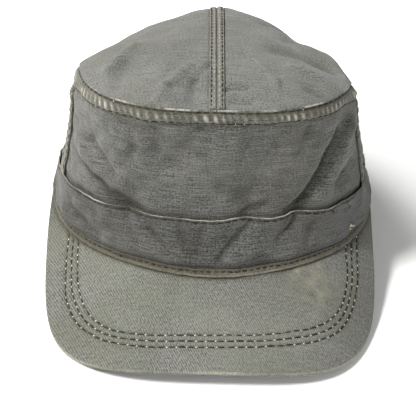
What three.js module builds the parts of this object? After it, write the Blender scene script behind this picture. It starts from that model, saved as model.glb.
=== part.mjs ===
// A soft patrol cap: a crown of cloth panels over a band, with a curved, stitched peak.
// Millimetres, +Z up. The front of the cap faces -Y, and the cap stands on z = 0.
// Angles go round the cap from the front: 0 is the front, 90 the +X side, 180 the back.
// A level goes up the wall: 0 is the foot of the band and 1 the rim.

import * as THREE from 'three';
import { mergeVertices } from 'three/addons/utils/BufferGeometryUtils.js';

// Driving dimensions
const headHalfWidth = 85.7; // inside the foot of the band, from the middle to one side
const headFront = 99; // inside the foot, from the middle to the front
const headBack = 88; // inside the foot, from the middle to the back
const crownHeight = 88.6; // foot to rim at the front
const crownApex = 99.4; // highest point of the top above the foot
const bandHeight = 26; // at the front
const hemHeight = 4.2;
const rimSeamWidth = 7;
const sideSeamWidth = 7.5;
const centreSeamWidth = 7.2;
const centreSeamDitch = 0.4;
const peakLength = 52.5; // band to the peak's edge along the middle
const peakOverhang = 1; // how much wider the peak's outline is than the head, at each side
const peakDrop = 21.6; // how far the peak falls from the band to its edge
const peakArch = 27.6; // how far the peak's side edges hang below its middle

// Thicknesses and clearances
const wallCloth = 1.2;
const topCloth = 1.2;
const bandCloth = 1.2;
const hemCloth = 1.0;
const seamCloth = 1.0;
const peakCloth = 1.4;
const gap = 0.3; // between sewn layers

// Depths of the folds in the cloth
const wallFoldDepth = 4;
const topFoldDepth = 4;

// The crown's sections from foot to rim. Widths and reaches are shares of headHalfWidth,
// headFront and headBack. Centre is how far forward the widest place lies, as a share of
// headFront, and squareness is the power of the rounded outline.
const wallSections = [
  { level: 0.0, width: 0.972, front: 1.0, back: 1.0, centre: 0.16, squareFront: 2.02, squareBack: 2.0 },
  { level: 0.3, width: 0.925, front: 0.877, back: 0.95, centre: 0.19, squareFront: 2.34, squareBack: 2.0 },
  { level: 0.7, width: 0.875, front: 0.89, back: 0.89, centre: 0.11, squareFront: 2.45, squareBack: 2.0 },
  { level: 0.9, width: 0.843, front: 0.91, back: 0.84, centre: 0.16, squareFront: 2.6, squareBack: 1.9 },
  { level: 1.0, width: 0.805, front: 0.916, back: 0.8, centre: 0.16, squareFront: 2.7, squareBack: 1.85 },
];

// The rim's height round the crown, as a share of crownHeight
const rimSections = [
  { angle: 0, height: 1.0 },
  { angle: 40, height: 0.983 },
  { angle: 72, height: 0.925 },
  { angle: 91, height: 0.795 },
  { angle: 120, height: 0.715 },
  { angle: 150, height: 0.675 },
  { angle: 180, height: 0.665 },
];

// Places where the soft rim sags down and pulls in. Angle and width are in degrees, and
// drop and pull are shares of crownHeight.
const rimSags = [
  { angle: 98, width: 26, drop: 0.05, pull: 0.035 },
  { angle: -100, width: 24, drop: 0.015, pull: 0 },
];

// Creases of the wall and band: straight runs between two places on the wall. Angles are
// in degrees, width is a share of the crown's front height and depth of wallFoldDepth.
const wallCreases = [
  { fromAngle: 48, fromLevel: 0.83, toAngle: 28.5, toLevel: 0.3, width: 0.07, depth: -0.7 },
  { fromAngle: 56, fromLevel: 0.8, toAngle: 38, toLevel: 0.36, width: 0.08, depth: 0.5 },
  { fromAngle: 53, fromLevel: 0.46, toAngle: 43.5, toLevel: 0.39, width: 0.06, depth: -0.5 },
  { fromAngle: 20.5, fromLevel: 0.84, toAngle: 9.5, toLevel: 0.3, width: 0.12, depth: -0.45 },
  { fromAngle: 11, fromLevel: 0.25, toAngle: 2, toLevel: 0.11, width: 0.07, depth: -0.5 },
  { fromAngle: 26.5, fromLevel: 0.24, toAngle: 20.5, toLevel: 0.18, width: 0.06, depth: -0.4 },
  { fromAngle: -54.5, fromLevel: 0.47, toAngle: -28, toLevel: 0.31, width: 0.06, depth: -0.5 },
  { fromAngle: -44, fromLevel: 0.63, toAngle: -36, toLevel: 0.53, width: 0.08, depth: -0.4 },
  { fromAngle: -8, fromLevel: 0.84, toAngle: -17, toLevel: 0.6, width: 0.1, depth: -0.35 },
  { fromAngle: -31, fromLevel: 0.77, toAngle: -24, toLevel: 0.72, width: 0.1, depth: 0.35 },
  { fromAngle: -52, fromLevel: 0.1, toAngle: -38, toLevel: 0.08, width: 0.07, depth: -0.45 },
  { fromAngle: 84, fromLevel: 0.8, toAngle: 84, toLevel: 0.62, width: 0.3, depth: -0.5 },
  { fromAngle: -92, fromLevel: 0.55, toAngle: -88, toLevel: 0.3, width: 0.2, depth: -0.5 },
  { fromAngle: 128, fromLevel: 0.85, toAngle: 118, toLevel: 0.4, width: 0.12, depth: -0.5 },
  { fromAngle: 172, fromLevel: 0.8, toAngle: 160, toLevel: 0.35, width: 0.14, depth: -0.5 },
  { fromAngle: -140, fromLevel: 0.85, toAngle: -128, toLevel: 0.4, width: 0.12, depth: -0.5 },
];

// Creases of the top, seen in plan: across and along are shares of headHalfWidth and
// headFront from the middle, width is a share of headHalfWidth and depth of topFoldDepth.
const topCreases = [
  { fromAcross: -0.68, fromAlong: -0.51, toAcross: -0.49, toAlong: -0.31, width: 0.1, depth: 0.5 },
  { fromAcross: -0.24, fromAlong: -0.66, toAcross: -0.13, toAlong: -0.88, width: 0.1, depth: -0.6 },
  { fromAcross: 0.48, fromAlong: -0.15, toAcross: 0.78, toAlong: -0.52, width: 0.09, depth: -0.6 },
  { fromAcross: 0.6, fromAlong: -0.14, toAcross: 0.8, toAlong: -0.02, width: 0.12, depth: 0.9 },
  { fromAcross: -0.3, fromAlong: 0.3, toAcross: -0.55, toAlong: 0.5, width: 0.12, depth: -0.6 },
];

// Where the layers lie, outward from the inside of the wall
const overWall = wallCloth + gap;
const bandOuter = overWall + bandCloth;
const hemInner = bandOuter + gap;
const footOuter = hemInner + hemCloth;
const seamOuter = overWall + seamCloth;
const backReach = headBack + footOuter;
const peakDepth = gap + peakCloth + gap + peakCloth;
const peakHalfWidth = headHalfWidth + peakOverhang;
const peakFall = peakDrop / peakLength; // how far it drops for each millimetre forward

// Places round the cap, in degrees
const fullTurn = 360;
const sideSeamAngle = 64;
const peakEndAngle = 76;
const footLevelAngle = 150; // the foot has left the peak's curve and lies flat from here back
const restStartAngle = 120; // the foot starts to sag toward the surface
const restAngle = 155; // the foot lies on the surface from here back

const seamHoldAngle = 3; // from a side seam, within which it holds the cloth flat
const seamFreeAngle = 8; // from a side seam, beyond which it lets the cloth fold

// Powers of the rounded outlines and slopes
const roundness = {
  peakAcross: 3.25,
  peakAlong: 4.8,
  sideways: 3, // of the peak's sideways arch
  top: 2.3, // of the top's fall from the apex toward the rim
};
const foldFadeShare = 0.1; // levels over which the creases die away at the foot and the rim
const sagStart = 0.5; // level above which a sagging rim pulls the wall in

// Mesh lines. All the layers of the wall share them, so that their facets stay parallel.
const columnAngle = 4;
const rowsOfBand = 4;
const rowsOfWall = 4; // from the band to the rim seam
const rowsOfTop = 7;
const columnsTop = 30;
const rowsOfPeak = 6;
const columnsPeak = (2 * peakEndAngle) / columnAngle;
const rowsOfCentreSeam = 20;

const { clamp, degToRad: radians, euclideanModulo, lerp, radToDeg, smoothstep } = THREE.MathUtils;

function namedMaterial(color, roughness) {
  return new THREE.MeshStandardMaterial({ color, roughness, metalness: 0, side: THREE.FrontSide });
}

const topCotton = namedMaterial(0x83857b, 0.92);
const wallCotton = namedMaterial(0x74766e, 0.93);
const peakCotton = namedMaterial(0x7d8072, 0.9);
const seamCotton = namedMaterial(0x8b8a7a, 0.92);

// A smooth curve through one column of a table, read at a place along its key column
function readTable(table, key, column, place) {
  const slopeAt = (index) => {
    const before = table[Math.max(index - 1, 0)];
    const after = table[Math.min(index + 1, table.length - 1)];
    return (after[column] - before[column]) / (after[key] - before[key]);
  };
  const above = table.findIndex((row) => row[key] > place);
  const high = above < 0 ? table.length - 1 : Math.max(above, 1);
  const low = high - 1;
  const span = table[high][key] - table[low][key];
  const t = (place - table[low][key]) / span;
  const eased = lerp(table[low][column], table[high][column], t * t * (3 - 2 * t));
  return eased + t * (1 - t) * span * ((1 - t) * slopeAt(low) - t * slopeAt(high));
}

// The same angle, from -180 up to 180
function wrapAngle(angle) {
  return euclideanModulo(angle + fullTurn / 2, fullTurn) - fullTurn / 2;
}

function onRay(angle, reach) {
  const turn = radians(angle);
  return { x: reach * Math.sin(turn), y: -reach * Math.cos(turn) };
}

// How far a ray from the middle runs inside a rounded outline about a centre
function outlineReach(angle, { halfWidth, front, back, centre, across, alongFront, alongBack }) {
  const ray = onRay(angle, 1);
  let inside = 0;
  let outside = halfWidth + front + back;
  for (let halving = 0; halving < 48; halving += 1) {
    const reach = (inside + outside) / 2;
    const forward = -ray.y * reach - centre;
    const length = forward > 0 ? front - centre : back + centre;
    const along = forward > 0 ? alongFront : alongBack;
    const side = (Math.abs(ray.x * reach) / halfWidth) ** (across ?? along);
    if (side + (Math.abs(forward) / length) ** along < 1) {
      inside = reach;
    } else {
      outside = reach;
    }
  }
  return inside;
}

// Creases

function distanceToRun(x, y, fromX, fromY, toX, toY) {
  const runX = toX - fromX;
  const runY = toY - fromY;
  const share = ((x - fromX) * runX + (y - fromY) * runY) / (runX * runX + runY * runY);
  const nearest = clamp(share, 0, 1);
  return Math.hypot(x - fromX - nearest * runX, y - fromY - nearest * runY);
}

function wallFold(angle, level) {
  const perDegree = radians(headHalfWidth);
  let depth = 0;
  for (const crease of wallCreases) {
    const distance = distanceToRun(
      wrapAngle(angle - crease.fromAngle) * perDegree,
      level * crownHeight,
      0,
      crease.fromLevel * crownHeight,
      (crease.toAngle - crease.fromAngle) * perDegree,
      crease.toLevel * crownHeight,
    );
    depth += crease.depth * Math.exp(-((distance / (crease.width * crownHeight)) ** 2));
  }
  const edgeFade = smoothstep(level, 0, foldFadeShare) * (1 - smoothstep(level, 1 - foldFadeShare, 1));
  const fromSeam = Math.abs(Math.abs(wrapAngle(angle)) - sideSeamAngle);
  const seamFade = smoothstep(fromSeam, seamHoldAngle, seamFreeAngle);
  return depth * wallFoldDepth * edgeFade * seamFade;
}

function topFold(x, y) {
  let depth = 0;
  for (const crease of topCreases) {
    const distance = distanceToRun(
      x,
      y,
      crease.fromAcross * headHalfWidth,
      crease.fromAlong * headFront,
      crease.toAcross * headHalfWidth,
      crease.toAlong * headFront,
    );
    depth += crease.depth * Math.exp(-((distance / (crease.width * headHalfWidth)) ** 2));
  }
  return depth * topFoldDepth;
}

function rimSag(angle, column) {
  let share = 0;
  for (const sag of rimSags) {
    share += sag[column] * Math.exp(-((wrapAngle(angle - sag.angle) / sag.width) ** 2));
  }
  return crownHeight * share;
}

// The wall's inner face, as a reach from the middle

function wallReach(angle, level) {
  const section = (column) => readTable(wallSections, 'level', column, level);
  const smooth = outlineReach(angle, {
    halfWidth: headHalfWidth * section('width'),
    front: headFront * section('front'),
    back: headBack * section('back'),
    centre: headFront * section('centre'),
    alongFront: section('squareFront'),
    alongBack: section('squareBack'),
  });
  return smooth + wallFold(angle, level) - rimSag(angle, 'pull') * smoothstep(level, sagStart, 1);
}

// The peak, an arched surface that falls forward

function peakHeight(x, y) {
  const forward = y + headFront + footOuter;
  const arch = (Math.abs(x) / (headHalfWidth + footOuter)) ** roundness.sideways;
  return peakFall * forward - peakArch * arch;
}

function peakNormal(x, y) {
  const halfWidth = headHalfWidth + footOuter;
  const power = roundness.sideways;
  const sideFall = (peakArch * power * (Math.abs(x) / halfWidth) ** (power - 1)) / halfWidth;
  return new THREE.Vector3(Math.sign(x) * sideFall, -peakFall, 1).normalize();
}

function peakReach(angle) {
  return outlineReach(angle, {
    halfWidth: peakHalfWidth,
    front: headFront + footOuter + peakLength,
    back: 0,
    centre: 0,
    across: roundness.peakAcross,
    alongFront: roundness.peakAlong,
  });
}

// Share 0 is the inner edge, flush with the wall's inner face, and 1 the outer edge.
function peakPoint(angle, share, depth) {
  const { x, y } = onRay(angle, lerp(wallReach(angle, 0), peakReach(angle), share));
  return new THREE.Vector3(x, y, peakHeight(x, y)).addScaledVector(peakNormal(x, y), -depth);
}

// The slope of the surface that the peak's underside and the back of the foot lie on
function findLaySlope() {
  let slope = 0;
  for (let column = 0; column <= columnsPeak; column += 1) {
    const angle = lerp(-peakEndAngle, peakEndAngle, column / columnsPeak);
    const low = peakPoint(angle, 1, peakDepth);
    slope = Math.max(slope, -low.z / (backReach - low.y));
  }
  return slope;
}

const laySlope = findLaySlope();

// The foot follows the peak in front, and lies on the surface at the back.
function footHeight(angle, offset) {
  const turn = Math.abs(angle);
  const bend = Math.sign(angle) * Math.min(turn, peakEndAngle);
  const overPeak = onRay(bend, wallReach(bend, 0) + offset);
  const here = onRay(angle, wallReach(angle, 0) + offset);
  const follow = 1 - smoothstep(turn, peakEndAngle, footLevelAngle);
  const surface = (here.y - backReach) * laySlope;
  const settle = smoothstep(turn, restStartAngle, restAngle);
  return lerp(peakHeight(overPeak.x, overPeak.y) * follow, surface, settle);
}

function rimHeight(angle) {
  const share = readTable(rimSections, 'angle', 'height', Math.abs(wrapAngle(angle)));
  return crownHeight * share - rimSag(angle, 'drop');
}

function wallPoint(angle, level, offset) {
  const turn = wrapAngle(angle);
  const { x, y } = onRay(turn, wallReach(turn, level) + offset);
  const top = rimHeight(turn) - topCloth - gap;
  return new THREE.Vector3(x, y, lerp(footHeight(turn, offset), top, level));
}

// The top's outer face over a place in plan
function topHeight(x, y) {
  const angle = radToDeg(Math.atan2(x, -y));
  const share = Math.min(Math.hypot(x, y) / (wallReach(angle, 1) + seamOuter), 1);
  const smooth = lerp(crownApex, rimHeight(angle), share ** roundness.top);
  return smooth + topFold(x, y) * (1 - share ** 4);
}

// Side is 1 for the panel toward +X and -1 for the other.
function topPoint(angle, share, side, depth) {
  const { x, y } = onRay(angle, share * (wallReach(angle, 1) + seamOuter));
  return new THREE.Vector3(side * Math.max(Math.abs(x), gap), y, topHeight(x, y) - depth);
}

// Solids

// A grid of points, row by row, from shares that run from 0 to 1 each way
function makeGrid(rows, columns, pointAt) {
  const shares = (count) => Array.from({ length: count + 1 }, (_, step) => step / count);
  return shares(rows).map((up) => shares(columns).map((across) => pointAt(up, across)));
}

// A closed solid between an outer and an inner grid. A looped one has no ends.
function makeShell(outer, inner, looped) {
  const corners = [];
  const addFace = (a, b, c) => {
    const flat = a.equals(b) || b.equals(c) || c.equals(a);
    if (!flat) {
      corners.push(...a, ...b, ...c);
    }
  };
  const addQuad = (a, b, c, d) => {
    addFace(a, b, c);
    addFace(a, c, d);
  };
  const lastRow = outer.length - 1;
  const lastColumn = outer[0].length - 1;
  for (let row = 0; row < lastRow; row += 1) {
    const next = row + 1;
    for (let column = 0; column < lastColumn; column += 1) {
      const right = column + 1;
      addQuad(outer[row][column], outer[row][right], outer[next][right], outer[next][column]);
      addQuad(inner[row][column], inner[next][column], inner[next][right], inner[row][right]);
    }
    if (!looped) {
      const end = lastColumn;
      addQuad(outer[row][0], outer[next][0], inner[next][0], inner[row][0]);
      addQuad(inner[row][end], inner[next][end], outer[next][end], outer[row][end]);
    }
  }
  for (let column = 0; column < lastColumn; column += 1) {
    const right = column + 1;
    addQuad(inner[0][column], inner[0][right], outer[0][right], outer[0][column]);
    addQuad(outer[lastRow][column], outer[lastRow][right], inner[lastRow][right], inner[lastRow][column]);
  }
  const geometry = new THREE.BufferGeometry();
  geometry.setAttribute('position', new THREE.Float32BufferAttribute(corners, 3));
  const solid = mergeVertices(geometry);
  solid.computeVertexNormals();
  return solid;
}

// A stretch of wall. Levels are functions from an angle to a level, from the foot up.
function wallStretch({ levels, columns, from, to, inside, outside }) {
  const looped = to - from >= fullTurn;
  const layer = (offset) => makeGrid(levels.length - 1, columns, (up, round) => {
    const angle = lerp(from, to, looped && round === 1 ? 0 : round);
    const level = levels[Math.round(up * (levels.length - 1))];
    return wallPoint(angle, level(angle), offset);
  });
  return makeShell(layer(outside), layer(inside), looped);
}

const cap = new THREE.Group();

function addPiece(name, geometry, material) {
  const mesh = new THREE.Mesh(geometry, material);
  mesh.name = name;
  cap.add(mesh);
}

// Levels of the wall, as functions of the angle

const footLevel = () => 0;
const rimLevel = () => 1;
const bandLevel = () => bandHeight / crownHeight;
const hemLevel = (angle) => hemHeight / rimHeight(angle);
const rimSeamLevel = (angle) => 1 - rimSeamWidth / rimHeight(angle);

function levelsBetween(low, high, rows) {
  return Array.from({ length: rows + 1 }, (_, row) => (
    (angle) => lerp(low(angle), high(angle), row / rows)
  ));
}

const bandLevels = levelsBetween(footLevel, bandLevel, rowsOfBand);
const openLevels = levelsBetween(bandLevel, rimSeamLevel, rowsOfWall);
const wallLevels = [...bandLevels, ...openLevels.slice(1), rimLevel];
const fullRing = { columns: fullTurn / columnAngle, from: -fullTurn / 2, to: fullTurn / 2 };

// Crown wall

function makeWall() {
  const panelGap = radToDeg(gap / 2 / headHalfWidth);
  const frontEnd = sideSeamAngle - panelGap;
  const backEnd = sideSeamAngle + panelGap;
  const layer = { levels: wallLevels, inside: 0, outside: wallCloth };
  const frontColumns = Math.round((2 * sideSeamAngle) / columnAngle);
  const backColumns = fullRing.columns - frontColumns;
  const front = { columns: frontColumns, from: -frontEnd, to: frontEnd };
  const back = { columns: backColumns, from: backEnd, to: fullTurn - backEnd };
  addPiece('wall_front', wallStretch({ ...layer, ...front }), wallCotton);
  addPiece('wall_back', wallStretch({ ...layer, ...back }), wallCotton);
}

// Crown seams

function makeRimSeam() {
  const strip = { levels: [rimSeamLevel, rimLevel], inside: overWall, outside: seamOuter };
  addPiece('rim_seam', wallStretch({ ...strip, ...fullRing }), seamCotton);
}

function makeSideSeams() {
  const clearance = gap / crownHeight;
  const low = (angle) => bandLevel(angle) + clearance;
  const high = (angle) => rimSeamLevel(angle) - clearance;
  const strip = { levels: levelsBetween(low, high, rowsOfWall), inside: overWall, outside: seamOuter };
  const halfTurn = radToDeg(sideSeamWidth / 2 / headHalfWidth);
  for (const [side, name] of [[-1, 'side_seam_left'], [1, 'side_seam_right']]) {
    const middle = side * sideSeamAngle;
    const place = { columns: 2, from: middle - halfTurn, to: middle + halfTurn };
    addPiece(name, wallStretch({ ...strip, ...place }), seamCotton);
  }
}

// The strip over the centre seam, from the front rim to the back one, with a ditch along it
function makeCentreSeam() {
  const placesAcross = [-1, -0.25, 0, 0.25, 1];
  const lastPlace = placesAcross.length - 1;
  const front = -(wallReach(0, 1) + seamOuter) + gap;
  const back = wallReach(180, 1) + seamOuter - gap;
  const layer = (lift, ditch) => makeGrid(rowsOfCentreSeam, lastPlace, (along, across) => {
    const place = placesAcross[Math.round(across * lastPlace)];
    const x = (place * centreSeamWidth) / 2;
    const y = lerp(front, back, along);
    return new THREE.Vector3(x, y, topHeight(x, y) + lift - (place === 0 ? ditch : 0));
  });
  const shell = makeShell(layer(gap + seamCloth, centreSeamDitch), layer(gap, 0), false);
  addPiece('centre_seam', shell, seamCotton);
}

// Crown top

function makeTop() {
  for (const [side, name] of [[-1, 'crown_top_left'], [1, 'crown_top_right']]) {
    const from = side < 0 ? -fullTurn / 2 : 0;
    const layer = (depth) => makeGrid(rowsOfTop, columnsTop, (inward, round) => (
      topPoint(from + (fullTurn / 2) * round, 1 - inward, side, depth)
    ));
    addPiece(name, makeShell(layer(0), layer(topCloth), false), topCotton);
  }
}

// Band and its hem

function makeBand() {
  const band = { levels: bandLevels, inside: overWall, outside: bandOuter };
  const hem = { levels: [footLevel, hemLevel], inside: hemInner, outside: footOuter };
  addPiece('band', wallStretch({ ...band, ...fullRing }), wallCotton);
  addPiece('band_hem', wallStretch({ ...hem, ...fullRing }), seamCotton);
}

// Peak

function makePeak() {
  const layer = (depth) => makeGrid(rowsOfPeak, columnsPeak, (inward, round) => (
    peakPoint(lerp(-peakEndAngle, peakEndAngle, round), 1 - inward, depth)
  ));
  const topFace = makeShell(layer(gap), layer(gap + peakCloth), false);
  const underFace = makeShell(layer(peakDepth - peakCloth), layer(peakDepth), false);
  addPiece('peak_top', topFace, peakCotton);
  addPiece('peak_underside', underFace, peakCotton);
}

makeTop();
makeCentreSeam();
makeWall();
makeRimSeam();
makeSideSeams();
makeBand();
makePeak();

// Lay the cap down, and put its origin under the middle of its box.
cap.rotation.x = -Math.atan(laySlope);
cap.updateMatrixWorld(true);
const box = new THREE.Box3().setFromObject(cap, true);
const middle = box.getCenter(new THREE.Vector3());
cap.position.set(-middle.x, -middle.y, -box.min.z);
cap.updateMatrixWorld(true);

export default cap;
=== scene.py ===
"""A soft patrol cap in washed cotton, lying on a pale studio floor.

Lengths of the cap's own cut are in millimetres, in the cap's frame: the front faces -Y, the foot of the band
starts at height 0, and angles go round from the front, 90 toward +X. A level runs up the wall from 0 at the
foot of the band to 1 at the rim. CapForm.lay turns such points into the model's frame, in metres.
"""

import logging
import math
from dataclasses import dataclass, field, replace
from enum import Enum
from functools import partial
from typing import Callable, Optional, Sequence

import bpy
import numpy as np
from mathutils import Matrix, Vector


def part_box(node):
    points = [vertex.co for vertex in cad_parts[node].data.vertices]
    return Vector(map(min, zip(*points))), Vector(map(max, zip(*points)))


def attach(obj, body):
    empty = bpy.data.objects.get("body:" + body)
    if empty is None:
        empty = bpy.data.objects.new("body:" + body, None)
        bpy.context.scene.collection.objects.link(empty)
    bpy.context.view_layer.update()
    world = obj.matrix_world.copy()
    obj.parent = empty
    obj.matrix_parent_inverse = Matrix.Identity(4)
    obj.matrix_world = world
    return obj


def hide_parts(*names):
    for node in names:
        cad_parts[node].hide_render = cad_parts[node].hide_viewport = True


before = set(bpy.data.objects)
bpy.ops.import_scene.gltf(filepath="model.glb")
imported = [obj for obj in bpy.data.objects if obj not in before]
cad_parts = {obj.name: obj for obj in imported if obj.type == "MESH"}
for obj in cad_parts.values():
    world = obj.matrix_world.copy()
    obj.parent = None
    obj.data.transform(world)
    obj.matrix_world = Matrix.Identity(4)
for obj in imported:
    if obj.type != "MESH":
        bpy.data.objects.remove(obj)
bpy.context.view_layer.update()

log = logging.getLogger("cap")

Array = np.ndarray
Pair = tuple[float, float]
Colour = tuple[float, float, float]
Place = tuple[float, float, float]
Socket = bpy.types.NodeSocket
MM = 0.001
FULL_TURN = 360.0


# Small helpers


def ease(value: Array, low: float, high: float) -> Array:
    """Smooth rise from 0 at low to 1 at high."""
    share = np.clip((value - low) / (high - low), 0, 1)
    return share * share * (3 - 2 * share)


def wrap(angle: Array) -> Array:
    """The same angle, from -180 up to 180."""
    return (np.asarray(angle, float) + FULL_TURN / 2) % FULL_TURN - FULL_TURN / 2


def read_curve(keys: Sequence[float], values: Sequence[float], place: Array) -> Array:
    """A smooth curve through a table of values.

    Args:
        keys: rising places in the table.
        values: the value at each key.
        place: where to read the curve.

    Returns:
        The curve's values.
    """
    key, value = np.asarray(keys, float), np.asarray(values, float)
    last = len(key) - 1
    row = np.arange(last + 1)
    before, after = np.maximum(row - 1, 0), np.minimum(row + 1, last)
    slope = (value[after] - value[before]) / (key[after] - key[before])
    high = np.clip(np.searchsorted(key, place, side="right"), 1, last)
    low = high - 1
    span = key[high] - key[low]
    t = (place - key[low]) / span
    eased = value[low] + (value[high] - value[low]) * t * t * (3 - 2 * t)
    return eased + t * (1 - t) * span * ((1 - t) * slope[low] - t * slope[high])


def waves(across: Array, along: Array, length: float, seed: int, count: int = 9) -> Array:
    """Soft, patternless swelling of a surface.

    Args:
        across: first coordinate, in mm.
        along: second coordinate, in mm.
        length: typical wavelength, in mm.
        seed: picks the pattern.
        count: how many waves are added up.

    Returns:
        Heights, mostly between -1 and 1.
    """
    draw = np.random.default_rng(seed)
    total = np.zeros(np.broadcast(across, along).shape)
    for _ in range(count):
        heading = draw.uniform(0, 2 * math.pi)
        pace = 2 * math.pi / (length * draw.uniform(0.7, 1.5))
        phase = draw.uniform(0, 2 * math.pi)
        total = total + np.sin(pace * (across * math.cos(heading) + along * math.sin(heading)) + phase)
    return total / math.sqrt(count) * 0.9


def puckers(along: Array, pitch: float, seed: int) -> Array:
    """Uneven gathers along a stitched seam.

    Args:
        along: distance along the seam, in mm.
        pitch: mean distance between gathers, in mm.
        seed: picks their places.

    Returns:
        Heights from 0 in the hollows to about 1 on the gathers.
    """
    drift = 0.32 * waves(along, 0 * along, pitch * 4.2, seed, 5)
    ridge = 0.5 + 0.5 * np.cos(2 * math.pi * (along / pitch + drift))
    strength = np.clip(0.8 + 0.3 * waves(along, 0 * along, pitch * 5.5, seed + 1, 5), 0.4, 1.15)
    return ridge * strength


def dip(distance: Array, width: float) -> Array:
    """A narrow trough's share of its depth at a distance from its line, in mm."""
    return np.exp(-((distance / width) ** 2))


def even_steps(low: float, high: float, pitch: float) -> Array:
    """Places from low to high, about a pitch apart."""
    return np.linspace(low, high, max(2, int(round(abs(high - low) / pitch)) + 1))


def mirrored(places: Sequence[float]) -> Array:
    """Rising places on one side of 0, with 0 and the same places on its other side."""
    return np.array([-place for place in reversed(places)] + [0.0] + list(places))


def swelling(rows: Sequence[tuple[float, float, int]], across: Array, along: Array) -> Array:
    """The cloth's swelling in mm, as waves with a height and a length in mm and a pattern each."""
    return sum(height * waves(across, along, length, pattern) for height, length, pattern in rows)


# The cap's form


class CreaseShape(Enum):
    """How a crease falls off to each side."""

    SOFT = "soft"
    SHARP = "sharp"


SHARP = CreaseShape.SHARP


@dataclass(frozen=True)
class Crease:
    """A straight fold between two places on the cloth.

    The wall's places are an angle and a level. The top's are shares of the head's half width and of its front.
    """

    start: Pair
    end: Pair
    width: float
    depth: float
    shape: CreaseShape = CreaseShape.SOFT

    def height(self, across: Array, along: Array, start: Pair, end: Pair) -> Array:
        """How far the crease moves the cloth.

        Args:
            across: first coordinate of the places, in mm.
            along: second coordinate of the places, in mm.
            start: where the crease starts, in the same coordinates.
            end: where it ends.

        Returns:
            Heights in mm.
        """
        run = (end[0] - start[0], end[1] - start[1])
        share = ((across - start[0]) * run[0] + (along - start[1]) * run[1]) / (run[0] ** 2 + run[1] ** 2)
        near = np.clip(share, 0, 1)
        off = np.hypot(across - start[0] - near * run[0], along - start[1] - near * run[1])
        if self.shape is CreaseShape.SHARP:
            taper = 0.35 + 0.65 * np.sin(math.pi * np.clip(share, 0.02, 0.98))
            return self.depth * taper * np.exp(-off / self.width)
        return self.depth * np.exp(-((off / self.width) ** 2))


@dataclass(frozen=True)
class CapSizes:
    """The cap's cut, in mm, as in its CAD source."""

    head_half_width: float = 85.7
    head_front: float = 99.0
    head_back: float = 88.0
    crown_height: float = 88.6
    crown_apex: float = 99.4
    band_height: float = 26.0
    hem_height: float = 4.2
    rim_seam_width: float = 7.0
    side_seam_width: float = 7.5
    centre_seam_width: float = 7.2
    centre_seam_ditch: float = 0.4
    peak_length: float = 52.5
    peak_overhang: float = 1.0
    peak_drop: float = 21.6
    peak_arch: float = 27.6
    cloth: float = 1.2
    thin_cloth: float = 1.0
    peak_cloth: float = 1.4
    gap: float = 0.3
    side_seam_angle: float = 64.0
    peak_end_angle: float = 76.0
    foot_level_angle: float = 150.0
    rest_start_angle: float = 120.0
    rest_angle: float = 155.0
    column_angle: float = 4.0

    @property
    def over_wall(self) -> float:
        """Reach of the first layer over the wall."""
        return self.cloth + self.gap

    @property
    def band_outer(self) -> float:
        """Reach of the band's outer face."""
        return self.over_wall + self.cloth

    @property
    def hem_inner(self) -> float:
        """Reach of the hem's inner face."""
        return self.band_outer + self.gap

    @property
    def foot_outer(self) -> float:
        """Reach of the hem's outer face."""
        return self.hem_inner + self.thin_cloth

    @property
    def seam_outer(self) -> float:
        """Reach of the outer face of the crown's seams."""
        return self.over_wall + self.thin_cloth

    @property
    def peak_depth(self) -> float:
        """Depth of the peak's lowest face under its guide surface."""
        return 2 * (self.gap + self.peak_cloth)

    @property
    def band_level(self) -> float:
        """Level of the band's top edge."""
        return self.band_height / self.crown_height


WALL_LEVELS = (0.0, 0.3, 0.7, 0.9, 1.0)
WALL_SECTIONS = {
    "width": (0.972, 0.925, 0.875, 0.843, 0.805),
    "front": (1.0, 0.877, 0.89, 0.91, 0.916),
    "back": (1.0, 0.95, 0.89, 0.84, 0.8),
    "centre": (0.16, 0.19, 0.11, 0.16, 0.16),
    "square_front": (2.02, 2.34, 2.45, 2.6, 2.7),
    "square_back": (2.0, 2.0, 2.0, 1.9, 1.85),
}
RIM_ANGLES = (0, 40, 72, 91, 120, 150, 180)
RIM_HEIGHTS = (1.0, 0.983, 0.925, 0.795, 0.715, 0.675, 0.665)
# Angle, width in degrees, drop and pull as shares of the crown's height
RIM_SAGS = ((98, 26, 0.05, 0.035), (-100, 24, 0.015, 0.0), (70, 15, 0.05, 0.0))
# Height in mm, length in mm and pattern of the cloth's swelling
WALL_SWELLS = ((0.65, 34, 11), (0.45, 16, 12), (0.2, 8, 13))
TOP_SWELLS = ((0.45, 42, 21), (0.25, 17, 22), (0.08, 8, 23))

# Creases that the solid cap has too, with widths as shares of the crown's height and depths of WALL_FOLD
WALL_FOLD = 4.0
WALL_CREASES = (
    Crease((48, 0.83), (28.5, 0.3), 0.07, -0.7),
    Crease((56, 0.8), (38, 0.36), 0.08, 0.5),
    Crease((53, 0.46), (43.5, 0.39), 0.06, -0.5),
    Crease((20.5, 0.84), (9.5, 0.3), 0.12, -0.45),
    Crease((11, 0.25), (2, 0.11), 0.07, -0.5),
    Crease((26.5, 0.24), (20.5, 0.18), 0.06, -0.4),
    Crease((-54.5, 0.47), (-28, 0.31), 0.06, -0.5),
    Crease((-44, 0.63), (-36, 0.53), 0.08, -0.4),
    Crease((-8, 0.84), (-17, 0.6), 0.1, -0.35),
    Crease((-31, 0.77), (-24, 0.72), 0.1, 0.35),
    Crease((-52, 0.1), (-38, 0.08), 0.07, -0.45),
    Crease((84, 0.8), (84, 0.62), 0.3, -0.5),
    Crease((-92, 0.55), (-88, 0.3), 0.2, -0.5),
    Crease((128, 0.85), (118, 0.4), 0.12, -0.5),
    Crease((172, 0.8), (160, 0.35), 0.14, -0.5),
    Crease((-140, 0.85), (-128, 0.4), 0.12, -0.5),
)
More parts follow.
